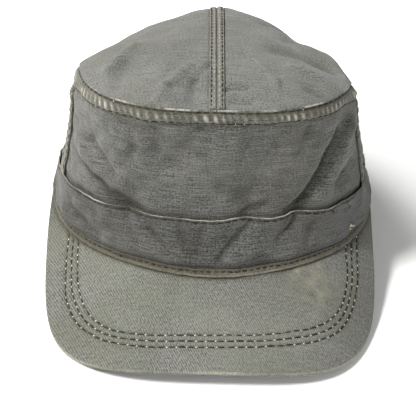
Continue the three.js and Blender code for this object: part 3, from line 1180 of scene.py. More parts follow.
@dataclass(frozen=True)
class ThreadFinish:
    """A dull sewing thread, faded along its length."""

    name: str
    dark: Colour
    light: Colour
    roughness: float = 0.75

    def build(self) -> bpy.types.Material:
        """The finish as a material.

        Returns:
            The material.
        """
        material, desk, shader = new_cotton(self.name, Roughness=self.roughness, Specular_IOR_Level=0.2)
        place = desk.node("ShaderNodeTexCoord").outputs["Object"]
        share = desk.spread(desk.noise(place, 170.0, 3.0, 0.6), 0.36, 0.66)
        desk.join(desk.blend(share, (*self.dark, 1), (*self.light, 1)), shader.inputs["Base Color"])
        desk.bump(desk.noise(place, 2600.0, 1.0), 0.5, 0.0001, shader)
        return material


TOP_FINISH = ClothFinish(
    "Washed top cotton", dark=(0.034, 0.036, 0.031), light=(0.152, 0.154, 0.142), tint=(0.09, 0.089, 0.064),
    worn=(0.3, 0.29, 0.255), weave=Weave.PLAIN, streak=1.0, grain=1.8,
)
WALL_FINISH = ClothFinish(
    "Washed wall cotton", dark=(0.023, 0.024, 0.022), light=(0.126, 0.126, 0.118), tint=(0.073, 0.07, 0.053),
    worn=(0.34, 0.325, 0.285), weave=Weave.PLAIN, streak=1.7, grain=2.2,
)
BAND_FINISH = replace(
    WALL_FINISH, name="Washed band cotton", dark=(0.018, 0.0185, 0.0175), light=(0.098, 0.098, 0.094),
    tint=(0.056, 0.053, 0.042),
)
SEAM_FINISH = ClothFinish(
    "Rubbed seam cotton", dark=(0.04, 0.04, 0.033), light=(0.17, 0.168, 0.148), tint=(0.1, 0.093, 0.065),
    worn=(0.27, 0.26, 0.225), weave=Weave.PLAIN, tint_share=0.5,
)
HEM_FINISH = ClothFinish(
    "Tan hem cotton", dark=(0.04, 0.037, 0.028), light=(0.135, 0.126, 0.1), tint=(0.095, 0.083, 0.055),
    worn=(0.19, 0.178, 0.142), weave=Weave.PLAIN, tint_share=0.4,
)
PEAK_FINISH = ClothFinish(
    "Washed peak twill", dark=(0.032, 0.033, 0.027), light=(0.185, 0.186, 0.17), tint=(0.1, 0.104, 0.07),
    worn=(0.27, 0.258, 0.21), weave=Weave.TWILL, pitch=0.0012, streak=0.4, grain=1.4, weave_share=0.62,
    relief=0.00013, fade=0.55,
)
THREAD_FINISH = ThreadFinish("Olive brown thread", (0.008, 0.0065, 0.003), (0.032, 0.027, 0.013))
FLECK_FINISH = ThreadFinish("Bleached thread", (0.28, 0.27, 0.18), (0.44, 0.42, 0.31))


# Building cloth


PlaceFunction = Callable[[Array, Array], Array]


def deselect_all() -> None:
    """Leaves nothing selected."""
    bpy.ops.object.select_all(action="DESELECT")


def take(piece: bpy.types.Object) -> None:
    """Selects one object alone and makes it the active one.

    Args:
        piece: the object.
    """
    deselect_all()
    piece.select_set(True)
    bpy.context.view_layer.objects.active = piece


def apply_modifiers(piece: bpy.types.Object) -> None:
    """Applies every modifier of a piece, in order.

    Args:
        piece: the object.
    """
    take(piece)
    for modifier in list(piece.modifiers):
        bpy.ops.object.modifier_apply(modifier=modifier.name)


@dataclass
class Cloth:
    """One cut of cloth, laid on a surface from a flat grid.

    Across and up are the places of the grid's columns and rows. Place, cut and the masks read them.
    """

    name: str
    across: Array
    up: Array
    place: PlaceFunction
    cut: PlaceFunction
    thickness: float
    masks: dict[str, PlaceFunction] = field(default_factory=dict)
    edge: float = 0.35
    flip: bool = False

    def build(self, form: CapForm) -> bpy.types.Object:
        """Builds the cloth.

        Args:
            form: the cap's form.

        Returns:
            The finished object.
        """
        columns, rows = len(self.across) - 1, len(self.up) - 1
        deselect_all()
        bpy.ops.mesh.primitive_grid_add(
            x_subdivisions=columns, y_subdivisions=rows, size=1.0, location=(0, 0, 0)
        )
        piece = bpy.context.active_object
        piece.name = piece.data.name = self.name
        mesh = piece.data
        flat = np.zeros(len(mesh.vertices) * 3)
        mesh.vertices.foreach_get("co", flat)
        flat = flat.reshape(-1, 3)
        column = np.rint((flat[:, 0] + 0.5) * columns).astype(int)
        row = np.rint((flat[:, 1] + 0.5) * rows).astype(int)
        across, up = self.across[column], self.up[row]
        mesh.vertices.foreach_set("co", form.lay(self.place(across, up)).ravel())
        self.lay_cut(mesh, self.cut(across, up) * MM)
        for name in MASK_NAMES:
            values = self.masks[name](across, up) if name in self.masks else np.zeros(len(flat))
            attribute = mesh.attributes.new(name, "FLOAT", "POINT")
            attribute.data.foreach_set("value", np.clip(values, 0, 1).astype(np.float32))
        mesh.update()
        take(piece)
        bpy.ops.object.mode_set(mode="EDIT")
        bpy.ops.mesh.select_all(action="SELECT")
        bpy.ops.mesh.remove_doubles(threshold=2e-6)
        if self.flip:
            bpy.ops.mesh.flip_normals()
        bpy.ops.object.mode_set(mode="OBJECT")
        body = piece.modifiers.new("Thickness", "SOLIDIFY")
        body.thickness, body.offset, body.use_even_offset = self.thickness * MM, -1.0, True
        round_over = piece.modifiers.new("Rounded edge", "BEVEL")
        round_over.width, round_over.segments = self.edge * MM, 2
        round_over.limit_method, round_over.angle_limit = "ANGLE", math.radians(62)
        apply_modifiers(piece)
        for vertex in mesh.vertices:
            vertex.co.z = max(vertex.co.z, 0.0)
        take(piece)
        bpy.ops.object.shade_smooth()
        return piece

    @staticmethod
    def lay_cut(mesh: bpy.types.Mesh, cut: Array) -> None:
        """Writes the flat cut as the mesh's one UV map.

        Args:
            mesh: the cloth's mesh.
            cut: flat places of the vertices, in metres.
        """
        for layer in list(mesh.uv_layers):
            mesh.uv_layers.remove(layer)
        layer = mesh.uv_layers.new(name="cut")
        corner = np.zeros(len(mesh.loops), int)
        mesh.loops.foreach_get("vertex_index", corner)
        layer.data.foreach_set("uv", cut[corner].ravel().astype(np.float32))


def finish_piece(piece: bpy.types.Object, material: bpy.types.Material, slot: str, *nodes: str) -> None:
    """Dresses a piece and ties it to the model.

    Args:
        piece: the finished object.
        material: its material.
        slot: the record's material slot. It is not used.
        nodes: the CAD nodes it stands for.
    """
    piece.data.materials.clear()
    piece.data.materials.append(material)
    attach(piece, "root")
    if nodes:
        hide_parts(*nodes)
    faces = sum(len(face.vertices) - 2 for face in piece.data.polygons)
    log.info("%s: %d triangles", piece.name, faces)


@dataclass
class Workroom:
    """What every sub-assembly needs: the cap's form and its materials."""

    form: CapForm
    top: bpy.types.Material
    wall: bpy.types.Material
    band: bpy.types.Material
    seam: bpy.types.Material
    hem: bpy.types.Material
    peak: bpy.types.Material
    thread: bpy.types.Material
    fleck: bpy.types.Material
    arc_angles: Array = field(default_factory=lambda: np.linspace(-180, 180, 1441))
    arc_lengths: Array = field(default_factory=lambda: np.zeros(1441))

    def __post_init__(self) -> None:
        """Measures the distance round the foot of the wall."""
        points = self.form.wall_point(self.arc_angles, 0.35 + 0 * self.arc_angles, 2.0, fine=False)
        steps = np.hypot(*np.diff(points[:, :2], axis=0).T)
        self.arc_lengths = np.concatenate([[0], np.cumsum(steps)])
        self.arc_lengths -= np.interp(0, self.arc_angles, self.arc_lengths)

    def arc(self, angle: Array) -> Array:
        """Distance round the cap from the front, in mm. It goes on past the back.

        Args:
            angle: places round the cap.

        Returns:
            The distance at each place.
        """
        angle = np.asarray(angle, float)
        whole = self.arc_lengths[-1] - self.arc_lengths[0]
        turns = np.floor((angle + FULL_TURN / 2) / FULL_TURN)
        return np.interp(angle - turns * FULL_TURN, self.arc_angles, self.arc_lengths) + turns * whole

    def wall_cut(self, angle: Array, level: Array) -> Array:
        """Flat places of the wall's cloth, in mm."""
        return np.stack([self.arc(angle), level * self.form.sizes.crown_height], -1)


# Stitches


@dataclass(frozen=True)
class StitchSizes:
    """Sizes of one kind of stitch, in mm."""

    length: float = 3.3
    pitch: float = 4.4
    width: float = 0.62
    height: float = 0.42
    sunk: float = 0.1
    fleck: float = 0.55


@dataclass
class StitchRow:
    """A row of stitches along a line that lies on the cloth."""

    points: Array
    normals: Array
    sizes: StitchSizes
    seed: int
    fleck_share: float = 0.0


class Stitching:
    """Copies one modelled stitch along many rows, as one mesh."""

    def __init__(self, form: CapForm) -> None:
        """Models the stitch that is copied."""
        self.form = form
        self.shape, self.faces = self.model_stitch()

    @staticmethod
    def model_stitch() -> tuple[Array, list[tuple[int, ...]]]:
        """Models a unit stitch along X: a rounded bar that dips at both ends.

        Returns:
            Its vertices and faces.
        """
        deselect_all()
        sideways = (0, math.pi / 2, 0)
        bpy.ops.mesh.primitive_uv_sphere_add(segments=7, ring_count=6, radius=1.0, rotation=sideways)
        pattern = bpy.context.active_object
        bpy.ops.object.transform_apply(location=True, rotation=True, scale=True)
        points = np.array([vertex.co[:] for vertex in pattern.data.vertices])
        faces = [tuple(face.vertices) for face in pattern.data.polygons]
        bpy.data.objects.remove(pattern)
        points[:, 0] = np.sign(points[:, 0]) * np.abs(points[:, 0]) ** 0.8
        points[:, 2] -= 0.9 * points[:, 0] ** 4
        return points, faces

    def sew(self, name: str, rows: Sequence[StitchRow], flecks: bool) -> bpy.types.Object:
        """Lays the stitches, or the pale flecks between them, of several rows.

        Args:
            name: the new object's name.
            rows: the rows to sew.
            flecks: whether it lays the flecks instead of the stitches.

        Returns:
            The joined object.
        """
        points, faces, count = [], [], 0
        for row in rows:
            for centre, along, up, length, width, height in self.places(row, flecks):
                side = np.cross(up, along)
                local = self.shape * np.array([length / 2, width / 2, height / 2])
                points.append(centre + local[:, :1] * along + local[:, 1:2] * side + local[:, 2:] * up)
                faces.extend(tuple(corner + count for corner in face) for face in self.faces)
                count += len(self.shape)
        mesh = bpy.data.meshes.new(name)
        mesh.from_pydata(self.form.lay(np.concatenate(points)).tolist(), [], faces)
        piece = bpy.data.objects.new(name, mesh)
        bpy.context.scene.collection.objects.link(piece)
        take(piece)
        bpy.ops.object.shade_smooth()
        return piece

    @staticmethod
    def places(row: StitchRow, flecks: bool) -> list[tuple[Array, Array, Array, float, float, float]]:
        """Works out where the stitches of a row go.

        Args:
            row: the row.
            flecks: whether the places between stitches are wanted.

        Returns:
            Centre, direction, upward normal, length, width and height of each.
        """
        draw = np.random.default_rng(row.seed + (1000 if flecks else 0))
        steps = np.linalg.norm(np.diff(row.points, axis=0), axis=1)
        run = np.concatenate([[0], np.cumsum(steps)])

        def read(values: Array, place: float) -> Array:
            """A point or normal of the row at a distance along it."""
            return np.array([np.interp(place, run, values[:, axis]) for axis in range(3)])

        count = max(1, int(run[-1] / row.sizes.pitch))
        pitch = run[-1] / count
        found = []
        for number in range(count):
            middle = (number + (1.0 if flecks else 0.5)) * pitch + draw.normal(0, 0.12)
            size, keep = draw.normal(1, 0.08), draw.random()
            if middle > run[-1] or (flecks and keep > row.fleck_share):
                continue
            length = row.sizes.fleck if flecks else row.sizes.length * size
            along = read(row.points, middle + length / 2) - read(row.points, middle - length / 2)
            along /= np.linalg.norm(along) + 1e-9
            up = read(row.normals, middle)
            up = up - along * (up @ along)
            up /= np.linalg.norm(up) + 1e-9
            side = np.cross(up, along)
            centre = read(row.points, middle) + side * draw.normal(0, 0.07)
            lift, width, height = 0.12, row.sizes.width * 0.8, 0.4
            if not flecks:
                width, height = row.sizes.width * size, row.sizes.height
                lift = height / 2 - row.sizes.sunk
            found.append((centre + up * lift, along, up, length, width, height))
        return found


def surface_line(place: PlaceFunction, across: Array, up: Array) -> tuple[Array, Array]:
    """A line on a surface and its outward normals.

    Args:
        place: the surface, in its own coordinates.
        across: first coordinates of the line.
        up: second coordinates of the line.

    Returns:
        Points and unit normals, in the cap's frame.
    """
    step_across, step_up = 0.05, 0.002
    points = place(across, up)
    right = place(across + step_across, up) - place(across - step_across, up)
    rise = place(across, up + step_up) - place(across, up - step_up)
    normal = np.cross(right, rise)
    return points, normal / np.linalg.norm(normal, axis=1, keepdims=True)


def row_on(place: PlaceFunction, across: Array, up: Array, sizes: StitchSizes, seed: int,
           fleck_share: float = 0.0) -> StitchRow:
    """A row of stitches along a line on a surface, in the surface's own coordinates."""
    points, normals = surface_line(place, across, up)
    return StitchRow(points, normals, sizes, seed, fleck_share)


@dataclass
class CapPart:
    """What the cap's sub-assemblies share: the workroom, and short ways to its form and sizes."""

    room: Workroom

    @property
    def form(self) -> CapForm:
        """The cap's form."""
        return self.room.form

    @property
    def size(self) -> CapSizes:
        """The cap's sizes."""
        return self.room.form.sizes


# Crown


@dataclass
class CrownTop(CapPart):
    """The two panels of the top and the topstitched seam between them."""

    columns: int = 190
    rim_gather: float = 0.5
    seam_gather: float = 0.22
    seam_sunk: float = 0.7
    gather_pitch: float = 4.4
    seam_pitch: float = 4.1
    seam_row: float = 2.7
    panel_thickness: float = 0.9
    strip_thickness: float = 0.8
    strip_places: tuple[float, ...] = (0.1, 0.18, 0.28, 0.4, 0.55, 0.67, 0.75, 0.83, 0.92, 1)

    def height(self, x: Array, y: Array) -> Array:
        """Height of the panels' outer face, gathered along the rim and the centre seam.

        Args:
            x: places across the cap, in mm.
            y: places along it, in mm.

        Returns:
            Heights in mm.
        """
        form = self.form
        angle = np.degrees(np.arctan2(x, -y))
        reach = form.rim_reach(angle)
        inward = np.maximum(reach - np.hypot(x, y), 0)
        rim = self.rim_gather * puckers(self.room.arc(angle), self.gather_pitch, 31)
        rim = rim * ease(inward, 0.4, 2.2) * np.exp(-inward / 5)
        seam = self.seam_gather * puckers(y, self.seam_pitch, 32)
        seam = seam * np.exp(-np.maximum(np.abs(x) - 3.2, 0) / 3.5)
        under = self.seam_sunk * (1 - ease(np.abs(x), 3.2, 4.6))
        return form.top_height(x, y) + rim + (seam - under) * ease(inward, 1, 6)

    def panel_point(self, angle: Array, inward: Array, side: float) -> Array:
        """Points of a panel's outer face.

        Args:
            angle: places round the cap.
            inward: 0 at the rim and 1 at the middle.
            side: 1 for the panel toward +X and -1 for the other.

        Returns:
            Points in the cap's frame.
        """
        form = self.form
        reach, gap = form.rim_reach(angle), form.sizes.gap
        aside = np.maximum(reach * np.abs(np.sin(np.radians(angle))) - gap, 0)
        x, y = side * (gap + (1 - inward) * aside), -(1 - inward) * reach * np.cos(np.radians(angle))
        return np.stack([x, y, self.height(x, y)], -1)

    def seam_point(self, x: Array, y: Array) -> Array:
        """Points of the seam strip's outer face, with its ditch and gathers.

        Args:
            x: places across the cap, in mm.
            y: places along it, in mm.

        Returns:
            Points in the cap's frame.
        """
        form, size = self.form, self.size
        inward = np.maximum(form.rim_reach(np.where(y < 0, 0.0, 180.0)) - np.abs(y), 0)
        lift = size.gap + size.thin_cloth - self.seam_sunk * ease(inward, 1, 6)
        ditch = 0.75 * dip(x, 0.55)
        pads = 0.42 * puckers(y, self.seam_pitch, 33) * dip(np.abs(x) - 1.35, 0.8)
        rows = 0.28 * dip(np.abs(x) - self.seam_row, 0.45)
        return np.stack([x, y, form.top_height(x, y) + lift + pads - ditch - rows], -1)

    def seam_ends(self) -> tuple[float, float]:
        """The seam strip's front and back ends, in mm."""
        ahead, behind = self.form.rim_reach(np.array([0.0, 180.0])) - self.size.gap
        return -float(ahead), float(behind)

    def build(self) -> None:
        """Builds both panels and the seam strip."""
        form, size = self.form, self.size
        inward = np.concatenate([np.linspace(0, 0.06, 9)[:-1], np.linspace(0.06, 1, 66)])
        for side, name in ((-1.0, "crown_top_left"), (1.0, "crown_top_right")):
            start = -180.0 if side < 0 else 0.0
            angles = np.linspace(start, start + 180.0, self.columns + 1)
            place = partial(self.panel_point, side=side)
            masks = {"rub": self.rim_rub, "shade": partial(self.panel_shade, side=side)}
            cloth = Cloth(name + "_cloth", angles, inward, place,
                          lambda a, u, place=place: place(a, u)[:, :2], self.panel_thickness, masks, edge=0.45)
            finish_piece(cloth.build(form), self.room.top, "top_cotton", name)
        front, back = self.seam_ends()
        across = mirrored(self.strip_places) * size.centre_seam_width / 2
        strip = Cloth("centre_seam_strip", across, even_steps(front, back, 0.85), self.seam_point,
                      lambda x, y: np.stack([x, y], -1), self.strip_thickness,
                      {"rub": self.strip_rub, "shade": self.strip_shade})
        finish_piece(strip.build(form), self.room.seam, "seam_cotton", "centre_seam")

    def strip_rub(self, x: Array, y: Array) -> Array:
        """How rubbed the seam strip is: on its gathers and along its edges."""
        on_gathers = dip(np.abs(x) - 1.2, 0.5) * (0.4 + 0.6 * puckers(y, self.seam_pitch, 33))
        return 0.85 * on_gathers + 0.5 * dip(np.abs(x) - self.size.centre_seam_width / 2, 0.3)

    def strip_shade(self, x: Array, _y: Array) -> Array:
        """Painted shade on the seam strip: in its ditch and along its stitches."""
        return 0.85 * dip(x, 0.4) + 0.35 * dip(np.abs(x) - self.seam_row, 0.6)

    def rim_rub(self, angle: Array, inward: Array) -> Array:
        """How rubbed the fold at the rim is: in short patches, on the gathers.

        Args:
            angle: places round the cap.
            inward: 0 at the rim and 1 at the middle.

        Returns:
            How rubbed it is, up to 1.
        """
        run = self.room.arc(angle)
        patch = 0.25 + 0.35 * waves(run, 0 * run, 17, 41) + 0.45 * puckers(run, self.gather_pitch, 31)
        return np.clip(patch, 0, 1) * np.exp(-inward * 85 / 0.4)

    def panel_shade(self, angle: Array, inward: Array, side: float) -> Array:
        """Painted shade on a panel: beside the centre seam, in its hollows and toward the right.

        Args:
            angle: places round the cap.
            inward: 0 at the rim and 1 at the middle.
            side: 1 for +X and -1 for -X.

        Returns:
            How dark the painted shade is, from 0 for none.
        """
        point = self.panel_point(angle, inward, side)
        # Painted shade in the top's hollows
        hollow = np.clip(-self.form.top_relief(point[:, 0], point[:, 1]) / 5 - 0.1, 0, 0.35)
        # Painted shade on the right of the top, which faces away from the key lamp
        right = 0.16 * ease(point[:, 0], 8, 50) * (1 - ease(point[:, 1], -20, 40))
        # Painted shade beside the centre seam's strip
        return 0.3 * np.exp(-np.maximum(np.abs(point[:, 0]) - 3.4, 0) / 1.2) + hollow + right

    def stitch_rows(self) -> list[StitchRow]:
        """The two rows along the centre seam.

        Returns:
            The rows.
        """
        front, back = self.seam_ends()
        along = even_steps(front + 1.2, back - 1.2, 0.8)
        sizes = StitchSizes(length=3.1, pitch=4.0, width=0.9)
        return [row_on(self.seam_point, x + 0 * along, along, sizes, 50 + number, 0.15)
                for number, x in enumerate((-self.seam_row, self.seam_row))]


@dataclass
class CrownWall(CapPart):
    """The wall's front and back panels and the strips sewn over its seams."""

    cell: float = 0.95
    gather_pitch: float = 3.9
    upper_row: float = 0.87
    lower_row: float = 0.07
    side_run: float = 46.0
    side_pitch: float = 4.3
    side_row: float = 0.72
    strip_places: tuple[float, ...] = (0.3, 0.5, 0.64, 0.74, 0.83, 0.92, 1)
    rim_places: tuple[float, ...] = (0, 0.03, 0.07, 0.11, 0.16, 0.22, 0.32, 0.42, 0.52, 0.62, 0.7, 0.78, 0.84,
                                     0.88, 0.91, 0.95, 1)

    def wall_face(self, angle: Array, level: Array) -> Array:
        """Points of the wall's outer face.

        Args:
            angle: places round the cap.
            level: places up the wall.

        Returns:
            Points in the cap's frame.
        """
        form, size = self.form, self.size
        run = self.room.arc(angle)
        below_rim = (1 - level) * form.rim_height(angle) - size.rim_seam_width
        above_band = (level - size.band_level) * size.crown_height
        gather = 0.6 * puckers(run, 5.2, 61) * np.exp(-np.maximum(below_rim, 0) / 6.0)
        tuck = 0.7 * np.exp(-np.maximum(above_band, 0) / 2.2) * ease(level, 0.15, size.band_level)
        return form.wall_point(angle, level, size.cloth + gather * ease(below_rim, -1.5, 1.5) - tuck)

    def wall_shade(self, angle: Array, level: Array) -> Array:
        """Painted shade on the wall: over the band, under the rim seam, in its hollows and at the left.

        Args:
            angle: places round the cap.
            level: places up the wall.

        Returns:
            How dark the painted shade is, from 0 for none.
        """
        form, size = self.form, self.size
        above = np.maximum((level - size.band_level) * size.crown_height, 0)
        below = np.maximum((1 - level) * form.rim_height(angle) - size.rim_seam_width, 0)
        # Painted shade on the left of the wall
        left = 0.12 * dip(angle + 44, 20)
        # Painted shadow just over the band's top edge and under the rim seam
        seams = 0.6 * np.exp(-above / 1.6) + 0.3 * np.exp(-below / 1.2)
        return seams + form.hollow_shade(angle, level) + left

    def rim_strip(self, angle: Array, up: Array) -> Array:
        """Points of the rim seam's outer face, puckered between its two rows of stitches.

        Args:
            angle: places round the cap.
            up: 0 at the strip's lower edge and 1 at its upper edge.

        Returns:
            Points in the cap's frame.
        """
        form, size = self.form, self.size
        level = 1 + (1.0 - (1 - up) * (size.rim_seam_width + 1.0)) / form.rim_height(angle)
        run = self.room.arc(angle)
        between = np.sin(math.pi * np.clip((up - 0.05) / 0.83, 0, 1)) ** 0.8
        swell = 1.25 * puckers(run + 0.3 * up * size.rim_seam_width, self.gather_pitch, 62) * between
        rows = 0.3 * (self.rim_line(up, self.lower_row, 0.45) + self.rim_line(up, self.upper_row, 0.5))
        return form.wall_point(angle, level, size.seam_outer + swell - rows - 0.7 * ease(up, 0.92, 1))

    def rim_line(self, up: Array, row: float, width: float) -> Array:
        """How near places on the rim strip are to a line along it, the width in mm."""
        return dip((up - row) * self.size.rim_seam_width, width)

    def rim_gathers(self, angle: Array, up: Array) -> Array:
        """The gathers of the rim strip, from 0 in the hollows to about 1 on top."""
        shape = puckers(self.room.arc(angle) + 2.1 * up, self.gather_pitch, 62)
        return shape * np.sin(math.pi * np.clip((up - 0.05) / 0.83, 0, 1))

    def side_strip(self, across: Array, up: Array, side: float) -> Array:
        """Points of a side seam's outer face.

        Args:
            across: places across the strip, from -1 to 1.
            up: 0 at the band and 1 at the rim seam.
            side: 1 for the seam toward +X and -1 for the other.

        Returns:
            Points in the cap's frame.
        """
        form, size = self.form, self.size
        half = math.degrees(size.side_seam_width / 2 / size.head_half_width)
        angle = side * size.side_seam_angle + across * half
        clearance = size.gap / size.crown_height
        low, high = size.band_level + clearance, 1 - size.rim_seam_width / form.rim_height(angle) - clearance
        level = low + (high - low) * up
        gather = 0.85 * self.side_gathers(up) * np.cos(across * math.pi / 2) ** 0.7
        rows = 0.2 * self.side_line(across, self.side_row, 0.5)
        return form.wall_point(angle, level, size.seam_outer + gather - rows)

    def side_gathers(self, up: Array) -> Array:
        """The gathers along a side seam."""
        return puckers(up * self.side_run, self.side_pitch, 63)

    def side_line(self, across: Array, row: float, width: float) -> Array:
        """How near places on a side strip are to the lines along both its sides, the width in mm."""
        return dip((np.abs(across) - row) * self.size.side_seam_width / 2, width)

    def build(self) -> None:
        """Builds both panels, the rim strip and the side strips."""
        form, size = self.form, self.size
        gap = math.degrees(size.gap / 2 / size.head_half_width)
        levels = np.concatenate([
            np.linspace(0, size.band_level, 16)[:-1],
            np.linspace(size.band_level, size.band_level + 0.06, 7)[:-1],
            np.linspace(size.band_level + 0.06, 1, 60),
        ])
        seam = size.side_seam_angle
        for name, start, end in (("wall_front", -seam + gap, seam - gap),
                                 ("wall_back", seam + gap, FULL_TURN - seam - gap)):
            angles = even_steps(start, end, math.degrees(self.cell / size.head_half_width))
            cloth = Cloth(name + "_cloth", angles, levels, self.wall_face, self.room.wall_cut, size.cloth,
                          {"shade": self.wall_shade})
            finish_piece(cloth.build(form), self.room.wall, "wall_cotton", name)
        ring = np.linspace(-180, 180, 701)
        rim = Cloth("rim_seam_strip", ring, np.array(self.rim_places), self.rim_strip,
                    lambda a, u: np.stack([self.room.arc(a), u * size.rim_seam_width + 90], -1),
                    size.thin_cloth, {"rub": self.rim_rub, "shade": self.rim_shade})
        finish_piece(rim.build(form), self.room.seam, "seam_cotton", "rim_seam")
        for side, name in ((-1.0, "side_seam_left"), (1.0, "side_seam_right")):
            strip = Cloth(name + "_strip", mirrored(self.strip_places), np.linspace(0, 1, 61),
                          partial(self.side_strip, side=side),
                          lambda a, u: np.stack([a * size.side_seam_width / 2 + 300, u * self.side_run], -1),
                          size.thin_cloth, {"rub": self.side_rub, "shade": self.side_shade})
            finish_piece(strip.build(form), self.room.seam, "seam_cotton", name)

    def rim_rub(self, angle: Array, up: Array) -> Array:
        """How rubbed the rim strip is: on its gathers and along its lower edge."""
        return 0.85 * self.rim_gathers(angle, up) + 0.2 * self.rim_line(up, 0.0, 0.4)

    def rim_shade(self, angle: Array, up: Array) -> Array:
        """Painted shade on the rim strip: along its stitches and between its gathers."""
        rows = 0.4 * self.rim_line(up, self.upper_row, 0.6) + 0.5 * self.rim_line(up, 0.06, 0.4)
        return rows + 0.6 * (1 - self.rim_gathers(angle, up)) * ease(up, 0.08, 0.3)

    def side_rub(self, across: Array, up: Array) -> Array:
        """How rubbed a side strip is: on its gathers and along its edges."""
        return 0.5 * self.side_gathers(up) * (1 - np.abs(across)) + 0.3 * self.side_line(across, 1.0, 0.35)

    def side_shade(self, across: Array, _up: Array) -> Array:
        """Painted shade on a side strip: along its stitches."""
        return 0.4 * self.side_line(across, self.side_row, 0.5)

    def stitch_rows(self) -> list[StitchRow]:
        """The rows along the rim seam and the side seams.

        Returns:
            The rows.
        """
        angles, along = np.linspace(-180, 180, 900), np.linspace(0.01, 0.99, 80)
        upper = StitchSizes(length=3.3, pitch=4.2, width=0.95)
        lower = StitchSizes(length=4.0, pitch=4.2, width=1.0)
        rows = [row_on(self.rim_strip, angles, up + 0 * angles, sizes, 70 + number, 0.08)
                for number, (up, sizes) in enumerate(((self.upper_row, upper), (self.lower_row, lower)))]
        sizes = StitchSizes(length=3.2, pitch=4.2, width=0.9)
        for side in (-1, 1):
            strip = partial(self.side_strip, side=side)
            for number, across in enumerate((-self.side_row, self.side_row)):
                rows.append(row_on(strip, across + 0 * along, along, sizes, 80 + number + side, 0.2))
        return rows


# Band


# Ends of the loose threads under the band's fold and of the frayed one at its foot, as angle and level
LOOSE_THREADS = (
    (38.2, 0.283, 39.6, 0.27), (39.4, 0.272, 41.4, 0.238), (40.0, 0.274, 40.5, 0.25),
    (47.6, 0.285, 48.3, 0.262), (48.5, 0.255, 49.6, 0.212), (49.2, 0.232, 50.3, 0.225),
)
FRAYED_THREADS = (
    (49.3, 0.098, 50.6, 0.085), (50.1, 0.104, 51.2, 0.082),
    (50.9, 0.09, 52.1, 0.079), (49.0, 0.085, 49.8, 0.074),
)


